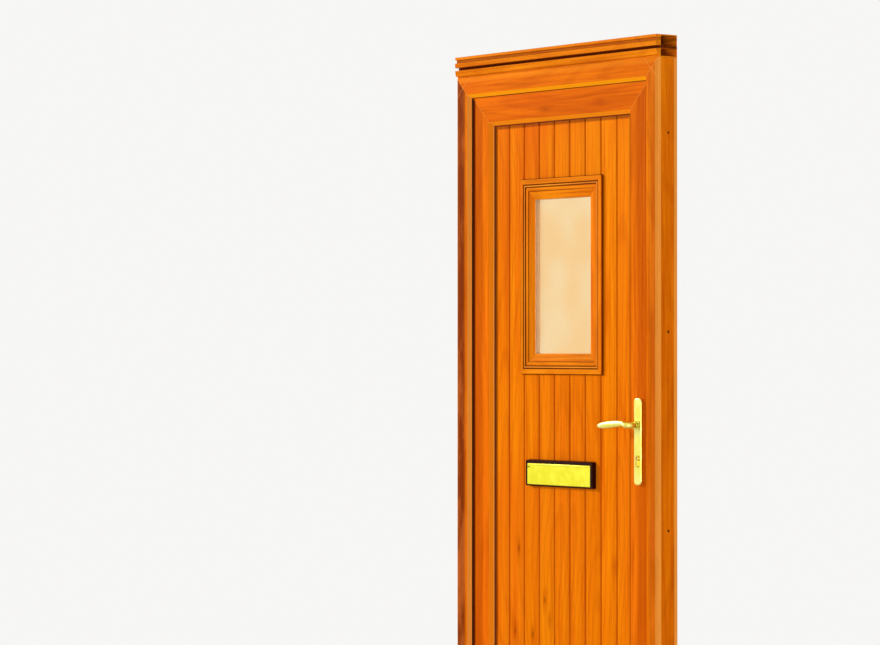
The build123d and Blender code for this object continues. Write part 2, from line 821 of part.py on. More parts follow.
def letterplate_frame():
    """Black surround with a seat for the flap and a slot through it."""
    half, low = plate_width / 2, plate_top - plate_height
    body = block(-half, half, y_at(plate_d), y_at(panel_d), low, plate_top)
    body = fillet(body.edges().filter_by(Axis.Y), plate_corner)
    body = chamfer(body.faces().sort_by(Axis.Y)[0].edges(), plate_bevel)
    seat = flap_width / 2 + running
    front = y_at(plate_d - cut_past)
    body -= block(-seat, seat, front, y_at(flap_seat_d), low - cut_past, flap_top + running)
    grip = flap_barrel_radius + running
    body -= block(-seat, seat, front, y_at(flap_pin_d + grip), flap_pin_z - grip, flap_top + running)
    w, h = slot_width / 2, slot_height / 2
    body -= block(-w, w, y_at(plate_d), y_at(panel_d + cut_past), slot_centre - h, slot_centre + h)
    pin_end = seat + flap_pin_reach + running
    return body - rod_x(flap_pin_radius + pin_clearance, -pin_end, pin_end, flap_pin_d, flap_pin_z)


def letter_flap():
    """Flap plate with a rolled top edge and its hinge pin."""
    half = flap_width / 2
    bottom = flap_top - flap_height
    plate = block(-half, half, y_at(plate_d), y_at(plate_d + flap_thickness), bottom, flap_pin_z)
    low_edge = plate.edges().filter_by(Axis.X).sort_by(Axis.Z)[:2].sort_by(Axis.Y)[0]
    plate = fillet(low_edge, flap_round)
    barrel = rod_x(flap_barrel_radius, -half, half, flap_pin_d, flap_pin_z)
    pin_end = half + flap_pin_reach
    pin = rod_x(flap_pin_radius, -pin_end, pin_end, flap_pin_d, flap_pin_z)
    return plate + barrel + pin


def letter_sleeve():
    """Liner of the slot through the panel."""
    w, h, t, z = slot_width / 2, slot_height / 2, sleeve_wall, slot_centre
    y0, y1 = y_at(panel_d), y_at(panel_back_d)
    way = block(-w, w, y0 - cut_past, y1 + cut_past, z - h, z + h)
    return block(-w - t, w + t, y0, y1, z - h - t, z + h + t) - way


def letter_bolt_span():
    """Depths of the bolts: from inside the outer plate to the seat of the inner flap."""
    return panel_d - letter_bolt_depth, 2 * panel_mid_d - flap_seat_d


def letter_bolts():
    """Bolts that pull the two letterplate frames together."""
    bolts = []
    start, end = letter_bolt_span()
    for x in (-letter_bolt_x, letter_bolt_x):
        bolts.append(headed_bolt(letter_bolt_radius, letter_bolt_head, start, end, x, slot_centre).solid())
    return Compound(children=bolts)


def letter_bolt_holes():
    """Blind holes in the outer frame and countersinks in the inner one."""
    start, end = letter_bolt_span()
    holes = Part()
    for x in (-letter_bolt_x, letter_bolt_x):
        holes += bolt_hole(letter_bolt_radius, letter_bolt_head, start, end, x, slot_centre)
    return holes


# Lock


def case_spans():
    """Heights that the lock case and the two hook cases take."""
    main = (cylinder_z - case_below_cylinder, latch_z + latch_height / 2 + case_above_latch)
    return [main] + [hook_case_span(z) for z in hook_centres]


def hook_case_span(z):
    return (z - hook_case_below, z - hook_case_below + hook_case_height)


def lock_case():
    """Thin steel box behind the faceplate, open towards it."""
    case = thin_case(case_depth, *case_spans()[0])
    d0, d1 = hub_d[0] - cut_past, hub_d[1] + cut_past
    case -= rod(hub_neck_radius + running, d0, d1, spindle_x, lever_z)
    return case - euro_profile(d0, d1, running)


def thin_case(depth, z0, z1):
    """Folded steel box, open towards the faceplate."""
    t, (d0, d1) = case_wall, hub_d
    case = block(u_x(case_u), u_x(case_u + depth), y_at(d0), y_at(d1), z0, z1)
    inner_u = case_u + depth - t
    return case - block(u_x(case_u - cut_past), u_x(inner_u), y_at(d0 + t), y_at(d1 - t), z0 + t, z1 - t)


def hook_case(z):
    """Small box with the pin that a hook turns on."""
    x = u_x(hook_pivot_u)
    d0, d1 = hub_d[0] + case_wall, hub_d[1] - case_wall
    gap = (case_thickness - hook_thickness) / 2 - case_wall - running
    pin = rod(hook_pin_radius, d0, d1, x, z)
    pin += rod(hook_washer_radius, d0, d0 + gap, x, z) + rod(hook_washer_radius, d1 - gap, d1, x, z)
    return thin_case(hook_case_depth, *hook_case_span(z)) + pin


def hook(z):
    """Swinging hook, drawn back upright inside its case."""
    x = u_x(hook_pivot_u)
    r = hook_radius
    half = hook_thickness / 2
    d0, d1 = lock_depth_centre - half, lock_depth_centre + half
    arm = block(x - r, x + r, y_at(d0), y_at(d1), z, z + hook_length - r)
    arm += rod(r, d0, d1, x, z) + rod(r, d0, d1, x, z + hook_length - r)
    start, end = d0 - cut_past, d1 + cut_past
    notch_z = z + hook_length - 2 * r - hook_notch_radius / 2
    notch = rod(hook_notch_radius, start, end, x - r - edge_flat, notch_z)
    return arm - notch - rod(hook_pin_radius + pin_clearance, start, end, x, z)


def faceplate():
    """Long steel strip in the edge of the leaf."""
    half = faceplate_width / 2
    plate = block(u_x(sash_u), u_x(sash_u + faceplate_thickness), y_at(lock_depth_centre - half),
                  y_at(lock_depth_centre + half), faceplate_low, faceplate_high)
    return plate - bolt_pockets(sash_u - cut_past, sash_u + faceplate_thickness + cut_past, running)


def drive_rail():
    """Sliding strip behind the faceplate that drives the deadbolt and the hooks."""
    half = rail_width / 2
    u0 = sash_u + faceplate_thickness + hole_clearance
    high = faceplate_high - rail_end - rail_travel
    rail = block(u_x(u0), u_x(u0 + rail_thickness), y_at(lock_depth_centre - half),
                 y_at(lock_depth_centre + half), faceplate_low + rail_end, high)
    gaps = bolt_pockets(u0 - cut_past, u0 + rail_thickness + cut_past, rail_window)
    for step in (0, rail_travel / 2, rail_travel):
        rail -= Pos(0, 0, -step) * gaps
    return rail


def latch_bolt():
    """Bevelled latch, drawn back flush with the faceplate."""
    d0, d1 = bolt_d
    end = sash_u + latch_length
    bevel_end = sash_u + latch_throw - latch_shoulder
    section = [(sash_u, d1), (end, d1), (end, d0), (bevel_end, d0), (sash_u, d1 - latch_nose)]
    placed = [(u_x(u), y_at(d)) for u, d in section]
    return prism(placed, "Z", latch_z - latch_height / 2, latch_z + latch_height / 2)


def deadbolt():
    """Square bolt, drawn back flush with the faceplate."""
    half = deadbolt_height / 2
    bolt = block(u_x(sash_u), u_x(sash_u + deadbolt_length), y_at(bolt_d[0]), y_at(bolt_d[1]),
                 deadbolt_z - half, deadbolt_z + half)
    return chamfer(bolt.faces().sort_by(Axis.X)[-1].edges(), deadbolt_bevel)


def lock_hub():
    """Follower that the spindle turns in the lock case."""
    inset = case_wall + running
    hub = rod(hub_radius, hub_d[0] + inset, hub_d[1] - inset, spindle_x, lever_z)
    hub += rod(hub_neck_radius, *hub_d, spindle_x, lever_z)
    return hub - square_bar(0, sash_back_d)


# Handles


def backplate():
    """Long gold plate with a collar round the lever's neck."""
    half_w, half_l = backplate_width / 2, backplate_length / 2
    plate = block(spindle_x - half_w, spindle_x + half_w, y_at(backplate_d), y_at(sash_d),
                  backplate_z - half_l, backplate_z + half_l)
    plate = fillet(plate.edges().filter_by(Axis.Y), backplate_corner)
    plate = fillet(plate.faces().sort_by(Axis.Y)[0].edges(), backplate_round)
    collar_d = backplate_d - collar_rise
    plate += rod(neck_radius + collar_wall, collar_d, sash_d - neck_seat, spindle_x, lever_z)
    plate -= rod(neck_radius + running, collar_d - cut_past, sash_d - neck_seat, spindle_x, lever_z)
    spindle_corner = spindle_size * 2 ** 0.5 / 2
    plate -= rod(spindle_corner + machining_clearance, collar_d, sash_d + cut_past, spindle_x, lever_z)
    return plate - euro_profile(backplate_d - cut_past, sash_d + cut_past, running)


def handle_bolts():
    """Bolts from the inner backplate into the outer one."""
    bolts = []
    start, end = handle_bolt_span()
    for z in handle_bolt_places:
        bolts.append(headed_bolt(handle_bolt_radius, handle_bolt_head, start, end, spindle_x, z).solid())
    return Compound(children=bolts)


def handle_bolt_span():
    """Depths between which the bolts lie: inside the outer plate, and the inner plate's face."""
    return backplate_d + collar_rise, sash_back_d + backplate_thickness


def handle_bolt_holes():
    holes = Part()
    start, end = handle_bolt_span()
    for z in handle_bolt_places:
        holes += bolt_hole(handle_bolt_radius, handle_bolt_head, start, end, spindle_x, z)
    return holes


def lever():
    """Leaf shaped lever on a round neck, pointing to the hinge side."""
    root, tip = lever_root, (-lever_reach, -lever_droop)
    middle = -lever_reach / 2
    with BuildSketch(Plane.XZ) as outline:
        with BuildLine():
            ThreePointArc((root, root), (middle, root + edge_flat), tip)
            ThreePointArc(tip, (middle, -root * 3 / 2), (root, -root))
            ThreePointArc((root, -root), (root * 3 / 2, 0), (root, root))
        make_face()
    half = lever_thickness / 2
    grip = extrude(outline.sketch, amount=half, both=True)
    long_edges = grip.edges().filter_by(Axis.Y, reverse=True)
    grip = fillet(long_edges, lever_round)
    grip = Pos(spindle_x, y_at(grip_d), lever_z) * grip
    neck = rod(neck_radius, grip_d, sash_d - neck_seat - bolt_sink, spindle_x, lever_z)
    return grip + neck - square_bar(grip_d + spindle_grip, sash_d)


def spindle():
    start = grip_d + spindle_grip
    return square_bar(start, 2 * sash_mid_d - start)


def square_bar(d0, d1):
    """The space of the spindle between two depths."""
    s = spindle_size / 2
    return block(spindle_x - s, spindle_x + s, y_at(d0), y_at(d1), lever_z - s, lever_z + s)


def cylinder_body():
    """Profile cylinder, cut away in the middle for the cam."""
    start, end = cylinder_span()
    body = euro_profile(start, end, 0)
    body -= rod(plug_radius + pin_clearance, start - cut_past, end + cut_past, spindle_x, cylinder_z)
    half = cam_gap / 2
    reach = cam_reach + machining_clearance
    gap = block(spindle_x - reach, spindle_x + reach, y_at(lock_depth_centre - half),
                y_at(lock_depth_centre + half), cylinder_z - reach, cylinder_z + reach)
    return body - gap


def cylinder_span():
    start = backplate_d - cylinder_projection
    return start, 2 * sash_mid_d - start


def cylinder_plug():
    """Plug with a key slot at each end and the cam at its middle."""
    start, end = cylinder_span()
    plug = rod(plug_radius, start, end, spindle_x, cylinder_z)
    half = cam_gap / 2 - running
    d0, d1 = lock_depth_centre - half, lock_depth_centre + half
    cam = rod(cylinder_radius - machining_clearance, d0, d1, spindle_x, cylinder_z)
    lobe_x = cam_width / 2
    lobe_low = cylinder_z - cam_reach + machining_clearance
    plug += cam + block(spindle_x - lobe_x, spindle_x + lobe_x, y_at(d0), y_at(d1), lobe_low, cylinder_z)
    w, h = key_slot_width / 2, key_slot_height / 2
    for a, b in ((start - cut_past, start + key_slot_depth), (end - key_slot_depth, end + cut_past)):
        plug -= block(spindle_x - w, spindle_x + w, y_at(a), y_at(b), cylinder_z - h, cylinder_z + h)
    return plug


def build():
    """All the nodes by name."""
    nodes = {
        "frame_head": frame_length("top"),
        "hinge_jamb": frame_length("left") - fixing_holes(-1),
        "lock_jamb": lock_jamb(),
        "frame_steel": frame_steel(),
        "threshold": threshold(),
        "lower_head_extension": lower_extension(),
        "upper_head_extension": upper_extension(),
        "frame_gasket": frame_gasket(),
        "hinge_pins": hinge_pins(),
        "keep_screws": keep_screws(),
        "top_rail": sash_length("top"),
        "bottom_rail": sash_length("bottom"),
        "hinge_stile": sash_length("left"),
        "lock_stile": lock_stile(),
        "sash_steel": sash_steel(),
        "sash_gasket": sash_gasket(),
        "bottom_seal": bottom_seal(),
        "panel_gaskets": panel_gaskets(),
        "glazing_packers": glazing_packers(),
        "infill_panel": infill_panel(),
        "spacer_bar": spacer_bar(),
        "letter_sleeve": letter_sleeve(),
        "letterplate_bolts": letter_bolts(),
        "lock_case": lock_case(),
        "lock_faceplate": faceplate(),
        "drive_rail": drive_rail(),
        "latch_bolt": latch_bolt(),
        "deadbolt": deadbolt(),
        "lock_hub": lock_hub(),
        "handle_bolts": handle_bolts(),
        "spindle": spindle(),
        "cylinder_body": cylinder_body(),
        "cylinder_plug": cylinder_plug(),
    }
    for name, side in (("top", "top"), ("bottom", "bottom"), ("hinge_side", "left"), ("lock_side", "right")):
        nodes[name + "_bead"] = mitred(bead_section(), side, leaf_low)
    centre, *hook_spans = keep_spans()
    nodes["centre_keep"] = keep_plate(*centre)
    nodes["hook_keeps"] = Compound(children=[keep_plate(*span).solid() for span in hook_spans])
    nodes["hook_cases"] = Compound(children=[hook_case(z).solid() for z in hook_centres])
    for name, z in zip(("lower", "middle", "upper"), hinge_centres):
        nodes[name + "_hinge_frame_leaf"] = hinge_frame_leaf(z)
        nodes[name + "_hinge_sash_leaf"] = hinge_sash_leaf(z)
    for name, z in zip(("lower", "upper"), hook_centres):
        nodes[name + "_hook"] = hook(z)
    outer = outer_moulding()
    nodes["outer_moulding"] = outer
    nodes["inner_moulding"] = inside(outer, panel_mid_d)
    nodes["outer_pane"] = pane()
    nodes["inner_pane"] = inside(pane(), panel_mid_d)
    surround = letterplate_frame()
    holes = letter_bolt_holes()
    nodes["letterplate_frame"] = surround - holes
    nodes["inner_letterplate_frame"] = inside(surround, panel_mid_d) - holes
    nodes["letter_flap"] = letter_flap()
    nodes["inner_letter_flap"] = inside(letter_flap(), panel_mid_d)
    plate = backplate()
    holes = handle_bolt_holes()
    nodes["outer_backplate"] = plate - holes
    nodes["inner_backplate"] = inside(plate, sash_mid_d) - holes
    nodes["outer_lever"] = lever()
    nodes["inner_lever"] = inside(lever(), sash_mid_d)
    return nodes


os.makedirs("parts", exist_ok=True)
for node_name, shape in build().items():
    export_step(shape, "parts/" + node_name + ".step")
print("nodes written")
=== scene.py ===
import json
import math

import bmesh
import bpy
from mathutils import Matrix, Vector


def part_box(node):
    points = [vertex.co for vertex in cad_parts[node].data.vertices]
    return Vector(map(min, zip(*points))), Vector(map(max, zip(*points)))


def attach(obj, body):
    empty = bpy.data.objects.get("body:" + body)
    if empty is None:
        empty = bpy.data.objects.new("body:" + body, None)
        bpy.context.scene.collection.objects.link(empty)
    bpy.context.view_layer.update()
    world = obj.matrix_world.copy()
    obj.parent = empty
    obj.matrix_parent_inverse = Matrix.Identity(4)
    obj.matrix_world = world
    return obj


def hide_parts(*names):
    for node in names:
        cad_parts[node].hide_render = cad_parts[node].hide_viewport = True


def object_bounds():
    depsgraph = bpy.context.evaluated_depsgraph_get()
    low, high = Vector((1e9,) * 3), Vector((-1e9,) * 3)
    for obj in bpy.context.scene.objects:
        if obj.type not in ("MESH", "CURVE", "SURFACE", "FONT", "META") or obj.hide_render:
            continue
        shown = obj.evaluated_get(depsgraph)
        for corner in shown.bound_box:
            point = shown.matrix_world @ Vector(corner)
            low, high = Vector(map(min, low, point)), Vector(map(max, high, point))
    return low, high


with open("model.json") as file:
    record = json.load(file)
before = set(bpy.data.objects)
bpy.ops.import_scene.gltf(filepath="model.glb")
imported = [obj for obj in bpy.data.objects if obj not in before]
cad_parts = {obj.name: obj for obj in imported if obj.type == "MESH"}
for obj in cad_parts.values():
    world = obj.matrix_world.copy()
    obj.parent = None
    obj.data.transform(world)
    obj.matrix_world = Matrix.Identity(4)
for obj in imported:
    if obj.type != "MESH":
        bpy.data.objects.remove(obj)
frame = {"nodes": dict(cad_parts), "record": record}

cadLow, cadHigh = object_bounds()
nodes = frame["nodes"]
print("frame loaded with", len(nodes), "nodes")


class Signal:
    # a socket that is added, scaled and compared like a number

    def __init__(self, recipe, socket):
        self.recipe = recipe
        self.socket = socket

    def maths(self, operation, *others):
        return self.recipe.add("ShaderNodeMath", {"operation": operation}, [self, *others])

    def reflected(self, operation, other):
        return self.recipe.add("ShaderNodeMath", {"operation": operation}, [other, self])

    def __add__(self, other):
        return self.maths("ADD", other)

    __radd__ = __add__

    def __mul__(self, other):
        return self.maths("MULTIPLY", other)

    __rmul__ = __mul__

    def __sub__(self, other):
        return self.maths("SUBTRACT", other)

    def __rsub__(self, other):
        return self.reflected("SUBTRACT", other)

    def __truediv__(self, other):
        return self.maths("DIVIDE", other)

    def __rtruediv__(self, other):
        return self.reflected("DIVIDE", other)

    def __gt__(self, other):
        return self.maths("GREATER_THAN", other)

    def __abs__(self):
        return self.maths("ABSOLUTE")

    def step(self, low, high):
        # rises smoothly from 0 at low to 1 at high
        sockets = {"Value": self, "From Min": low, "From Max": high}
        return self.recipe.add("ShaderNodeMapRange", {"interpolation_type": "SMOOTHSTEP"}, sockets)


class Recipe:
    # the nodes of one material, or of the world

    def __init__(self, owner):
        owner.use_nodes = True
        self.owner = owner
        self.tree = owner.node_tree
        self.tree.nodes.clear()

    def add(self, kind, settings=None, inputs=None, output=0):
        node = self.tree.nodes.new(kind)
        for key, value in (settings or {}).items():
            if key == "stops":
                self.setStops(node.color_ramp, value)
            else:
                setattr(node, key, value)
        pairs = inputs.items() if isinstance(inputs, dict) else enumerate(inputs or [])
        for key, value in pairs:
            self.plug(node.inputs[key], value)
        return Signal(self, node.outputs[output]) if node.outputs else None

    def plug(self, socket, value):
        if isinstance(value, Signal):
            self.tree.links.new(value.socket, socket)
        elif socket.type == "RGBA":
            socket.default_value = (*value, 1.0)
        else:
            socket.default_value = value

    def setStops(self, ramp, stops):
        while len(ramp.elements) < len(stops):
            ramp.elements.new(1.0)
        for element, (place, colour) in zip(ramp.elements, stops):
            element.position = place
            element.color = (*colour, 1.0)

    def coordinates(self):
        place = self.add("ShaderNodeTexCoord", output="Object")
        return [self.add("ShaderNodeSeparateXYZ", None, [place], axis) for axis in "XYZ"]

    def vector(self, *values):
        return self.add("ShaderNodeCombineXYZ", None, values)

    def noise(self, place, size, detail, rough, bend=0.0):
        sockets = {"Vector": place, "Scale": size, "Detail": detail, "Roughness": rough}
        sockets["Distortion"] = bend
        return self.add("ShaderNodeTexNoise", None, sockets)

    def ramp(self, signal, *stops):
        return self.add("ShaderNodeValToRGB", {"stops": stops}, [signal])

    def blend(self, share, first, second):
        return self.add("ShaderNodeMix", {"data_type": "RGBA"}, {0: share, 6: first, 7: second}, 2)

    def bump(self, height, strength, depth):
        sockets = {"Height": height, "Strength": strength, "Distance": depth}
        return self.add("ShaderNodeBump", None, sockets)

    def finish(self, sockets):
        self.close("Material", self.add("ShaderNodeBsdfPrincipled", None, sockets))
        return self.owner

    def close(self, kind, shader):
        self.add("ShaderNodeOutput" + kind, None, {"Surface": shader})


def newMaterial(name):
    return Recipe(bpy.data.materials.new(name))


def paint(red, green, blue):
    # a colour as it looks on screen, made linear
    def linear(value):
        share = value / 255
        return share / 12.92 if share <= 0.04045 else ((share + 0.055) / 1.055) ** 2.4

    return (linear(red), linear(green), linear(blue))


def band(signal, low, high, soft):
    # 1 between two values, with soft ends
    return signal.step(low - soft, low + soft) * (1.0 - signal.step(high - soft, high + soft))


def fadeOut(signal, low, high):
    return 1.0 - signal.step(low, high)


oakFoil = {
    "frame": {"pale": (240, 129, 6), "golden": (225, 110, 3), "warm": (205, 92, 1)},
    "panel": {"pale": (250, 148, 6), "golden": (240, 129, 3), "warm": (228, 109, 2)},
    "trim": {"pale": (248, 150, 20), "golden": (233, 131, 14), "warm": (210, 108, 8)},
    "toneStops": (0.39, 0.50, 0.61),
    "toneStreaks": 0.5,              # share of the streaks in the tone
    "streak": (168, 64, 0),
    "ruddy": (232, 101, 12),
    "knot": (92, 30, 2),
    "seam": (255, 186, 90),
    # each layer of the print: stretch along the grain, offset, size per metre, detail, roughness, bend
    "layers": {
        "tone": (0.10, 0.0, 7.0, 3.0, 0.6, 0.0),
        "hue": (0.35, 2.0, 2.6, 2.0, 0.5, 0.0),
        "streaks": (0.022, 3.0, 120.0, 5.0, 0.62, 0.0),
        "fine": (0.03, 5.0, 430.0, 3.0, 0.6, 0.0),
        "figure": (0.16, 7.0, 5.0, 1.2, 0.4, 0.25),
        "pores": (0.045, 11.0, 620.0, 2.0, 0.5, 0.0),
    },
    "figureBands": 15.0,
    # values of a layer where it starts to show and where it is full, and its share in the colour
    "ruddyRange": (0.48, 0.68),
    "ruddyShare": 0.4,
    "streakRange": (0.47, 0.28),
    "streakShare": 0.34,
    "figureRange": (0.60, 1.0),
    "figureShare": 0.16,
    "poreRange": (0.58, 0.70),
    "poreShare": 0.24,
    "slant": 0.7,                    # moves the print where a profile steps back
    "roughness": 0.42,
    "roughnessRange": 0.10,
    "shine": 0.006,
    "relief": {"fine": 0.6, "streaks": 0.4, "pores": 0.5},
    "bumpStrength": 0.35,
    "bumpDepth": 0.00025,
    "knotBend": 0.72,
    "knotReach": (0.016, 0.050),     # how far across and along the grain a knot bends it
    "knotFlat": 0.16,                # a knot is longer along the grain
    "heartReach": 2.4,               # the heart has faded out here, in squares of its radius
    "heartShare": 0.42,
    "patchShare": 0.62,
    "patchGrain": 1.3,               # less the fine grain, this is how much the patch shows
}
# knots in the foil: across the grain, along it, and radius of the dark heart, in metres
oakKnots = {
    "panel": [
        (-0.200, 0.671, 0.0036),
        (-0.079, 0.526, 0.0030),
        (-0.219, 0.427, 0.0030),
        (-0.135, 0.424, 0.0034),
        (-0.058, 0.470, 0.0012),
        (0.236, 0.640, 0.0012),
    ],
    "jamb": [(-0.446, 0.630, 0.0050), (-0.447, 1.330, 0.0026)],
    "rail": [(1.944, -0.058, 0.0010), (1.950, 0.190, 0.0006)],
}


def bendGrain(across, along, knots):
    # the grain flows round each knot, which has a dark heart in a darker patch
    look = oakFoil
    wide, long = look["knotReach"]
    heart = 0.0
    patch = 0.0
    for place, height, radius in knots:
        side = across - place
        rise = along - height
        near = ((side * side / (wide * wide) + rise * rise / (long * long)) * -1.0).maths("EXPONENT")
        reach = (side * side + rise * rise * look["knotFlat"]) / (radius * radius)
        heart = fadeOut(reach, 0.0, look["heartReach"]) + heart
        patch = near * near * (near * 0.5 + 0.5) + patch
        across = across - side * near * look["knotBend"]
    return across, heart, patch


def oakColour(recipe, tones, across, along, depth, seed, knots=(), shift=0.0):
    # colour and relief of the printed foil, with the grain running along one axis
    look = oakFoil
    across, heart, patch = bendGrain(across, along, knots)
    side = across + depth * look["slant"] + shift + seed
    streak = paint(*look["streak"])

    def layer(name):
        stretch, offset, size, detail, rough, bend = look["layers"][name]
        return recipe.noise(recipe.vector(side, along * stretch, seed + offset), size, detail, rough, bend)

    streaks = layer("streaks")
    fine = layer("fine")
    figure = (layer("figure") * (look["figureBands"] * math.tau)).maths("SINE") * 0.5 + 0.5
    pores = layer("pores").step(*look["poreRange"])
    low, middle, high = look["toneStops"]
    share = look["toneStreaks"]
    colour = recipe.ramp(
        layer("tone") * (1.0 - share) + streaks * share,
        (low, paint(*tones["warm"])),
        (middle, paint(*tones["golden"])),
        (high, paint(*tones["pale"])),
    )
    ruddy = layer("hue").step(*look["ruddyRange"]) * look["ruddyShare"]
    colour = recipe.blend(ruddy, colour, paint(*look["ruddy"]))
    colour = recipe.blend(streaks.step(*look["streakRange"]) * look["streakShare"], colour, streak)
    colour = recipe.blend(figure.step(*look["figureRange"]) * look["figureShare"], colour, streak)
    colour = recipe.blend(pores * look["poreShare"], colour, streak)
    depths = look["relief"]
    relief = fine * depths["fine"] + streaks * depths["streaks"] - pores * depths["pores"]
    if knots:
        dark = patch * (look["patchGrain"] - fine) * look["patchShare"]
        colour = recipe.blend(dark, colour, streak)
        colour = recipe.blend(heart * look["heartShare"], colour, paint(*look["knot"]))
    return colour, relief


def finishOak(recipe, colour, relief):
    look = oakFoil
    roughness = relief * look["roughnessRange"] + look["roughness"]
    bump = recipe.bump(relief, look["bumpStrength"], look["bumpDepth"])
    return recipe.finish({
        "Base Color": colour,
        "Roughness": roughness,
        "Normal": bump,
        "Specular IOR Level": look["shine"],
    })


profileLook = {
    "bevelFrom": 0.0004,          # how far below the face a bevel starts and ends
    "bevelTo": 0.0115,
    "edgeSoft": 0.0003,
    # each kind: way of the grain, painted highlight colour of its bevels, the highlight's share above and
    # below the middle, seed of the print
    "head": {"upright": False, "bevel": (254, 168, 18), "upper": 0.18, "lower": 0.90, "seed": 1.0},
    "jamb": {"upright": True, "bevel": (255, 168, 70), "upper": 0.72, "lower": 0.72, "seed": 2.3},
    "rail": {"upright": False, "bevel": (255, 160, 28), "upper": 0.66, "lower": 0.66, "seed": 3.7},
    "stile": {"upright": True, "bevel": (255, 150, 26), "upper": 0.80, "lower": 0.80, "seed": 5.2},
    "middleSoft": 0.001,
    "sideFace": (0.0005, 0.0020),     # the outer sides are left plain
    "weldWidth": 0.0011,
    "weldCore": 0.4,              # share of the width that is full
    "weldShare": 0.5,
    "weldDip": 0.8,
    # painted shade along the outer edges of the jambs, mottled like wear of the foil
    "shadeAndWearReach": (0.031, 0.052),
    "shadeAndWearShare": 0.95,
    "wornAndShaded": (118, 44, 7),
    "bleachedAndShaded": (168, 82, 30),
    "wornCloud": (20.0, 3.0, 0.6),    # size per metre, detail, roughness
    "wornRange": (0.42, 0.66),
    "wornStretch": 0.3,
    "shadeAndWearRight": 0.30,            # the right jamb gets less of the painted shade and wear
    "outerDepths": (0.0, 0.004),      # painted shade and wear stop between these depths, on the outer side
    # on the leaf: a painted highlight line where the bevel ends, a painted shadow line and painted shade
    # beside the frame's seal
    "footHighlightBand": (0.0104, 0.0124),
    "footHighlightShare": 0.6,
    "lipShadow": (0.006, 0.0178),
    "lipShadowSoft": 0.0015,
    "lipShadowShare": 0.88,
    "shade": (0.048, 0.062),
    "shadeShare": 0.46,
}


def sunkBelow(y, low, high):
    # depth below the nearer of a piece's two faces
    return (high.y - low.y) / 2 - abs(y - (high.y + low.y) / 2)


def addShadeAndWear(recipe, colour, x, y, z, fromSide):
    look = profileLook
    cloud = recipe.noise(recipe.vector(x, y, z * look["wornStretch"]), *look["wornCloud"])
    # painted shade on the jambs' outer faces, mottled like wear
    wornAndShaded = recipe.blend(cloud.step(*look["wornRange"]), paint(*look["wornAndShaded"]), paint(*look["bleachedAndShaded"]))
    share = fadeOut(fromSide, *look["shadeAndWearReach"]) * fromSide.step(*look["sideFace"])
    share = share * fadeOut(y, *look["outerDepths"]) * (1.0 - (x > 0.0) * (1.0 - look["shadeAndWearRight"]))
    return recipe.blend(share * look["shadeAndWearShare"], colour, wornAndShaded)


def addLeafShadowAndHighlight(recipe, colour, y, sunk, fromSide):
    look = profileLook
    outer = fadeOut(y, *look["outerDepths"])
    # painted shade cast by the frame's lip across the stile
    shade = fadeOut(fromSide, *look["shade"]) * outer
    colour = recipe.blend(shade * look["shadeShare"], colour, paint(*oakFoil["streak"]))
    # painted highlight where the bevel ends
    foot = band(sunk, *look["footHighlightBand"], look["edgeSoft"])
    colour = recipe.blend(foot * look["footHighlightShare"], colour, paint(*oakFoil["seam"]))
    # painted shadow: a dark line beside the frame's seal
    dark = band(fromSide, *look["lipShadow"], look["lipShadowSoft"]) * outer
    return recipe.blend(dark * look["lipShadowShare"], colour, paint(*oakFoil["knot"]))


def makeOak(name, kind, mitreNode, depthNode):
    # mitreNode is as wide and high as the welded corners, and depthNode as deep as the profile
    look = profileLook
    sort = look[kind]
    recipe = newMaterial(name)
    x, y, z = recipe.coordinates()
    across, along = (x, z) if sort["upright"] else (z, x)
    knots = oakKnots.get(kind, [])
    colour, relief = oakColour(recipe, oakFoil["frame"], across, along, y, sort["seed"], knots)
    low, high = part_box(mitreNode)
    sunk = sunkBelow(y, *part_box(depthNode))
    upper = (z - (low.z + high.z) / 2).step(-look["middleSoft"], look["middleSoft"])
    share = upper * (sort["upper"] - sort["lower"]) + sort["lower"]
    # painted highlight: the bevels are painted paler, by a share that differs above and below the middle
    bevel = band(sunk, look["bevelFrom"], look["bevelTo"], look["edgeSoft"])
    colour = recipe.blend(bevel * share, colour, paint(*sort["bevel"]))
    fromSide = high.x - abs(x)
    if kind == "jamb":
        colour = addShadeAndWear(recipe, colour, x, y, z, fromSide)
    if kind == "stile":
        colour = addLeafShadowAndHighlight(recipe, colour, y, sunk, fromSide)
    width = look["weldWidth"]
    core = width * look["weldCore"]
    weldTop = fadeOut(abs(fromSide - (high.z - z)), core, width)
    weldBottom = fadeOut(abs(fromSide - (z - low.z)), core, width)
    weld = weldTop.maths("MAXIMUM", weldBottom) * fromSide.step(*look["sideFace"])
    colour = recipe.blend(weld * look["weldShare"], colour, paint(*oakFoil["seam"]))
    return finishOak(recipe, colour, relief - weld * look["weldDip"])


headLook = {
    "cove": (2.1040, 2.1128),     # heights between which the cove and the recess are in shade
    "coveShare": 0.45,
    "recess": (2.0822, 2.0900),
    "recessShare": 0.95,
    "edgeSoft": 0.0004,
    "seed": 9.1,
}


def makeExtension():
    # the lengths above the head
    look = headLook
    recipe = newMaterial("oakExtension")
    x, y, z = recipe.coordinates()
    colour, relief = oakColour(recipe, oakFoil["trim"], z, x, y, look["seed"])
    for part in ("cove", "recess"):
        shade = band(z, *look[part], look["edgeSoft"])
        colour = recipe.blend(shade * look[part + "Share"], colour, paint(*oakFoil["knot"]))
    return finishOak(recipe, colour, relief)


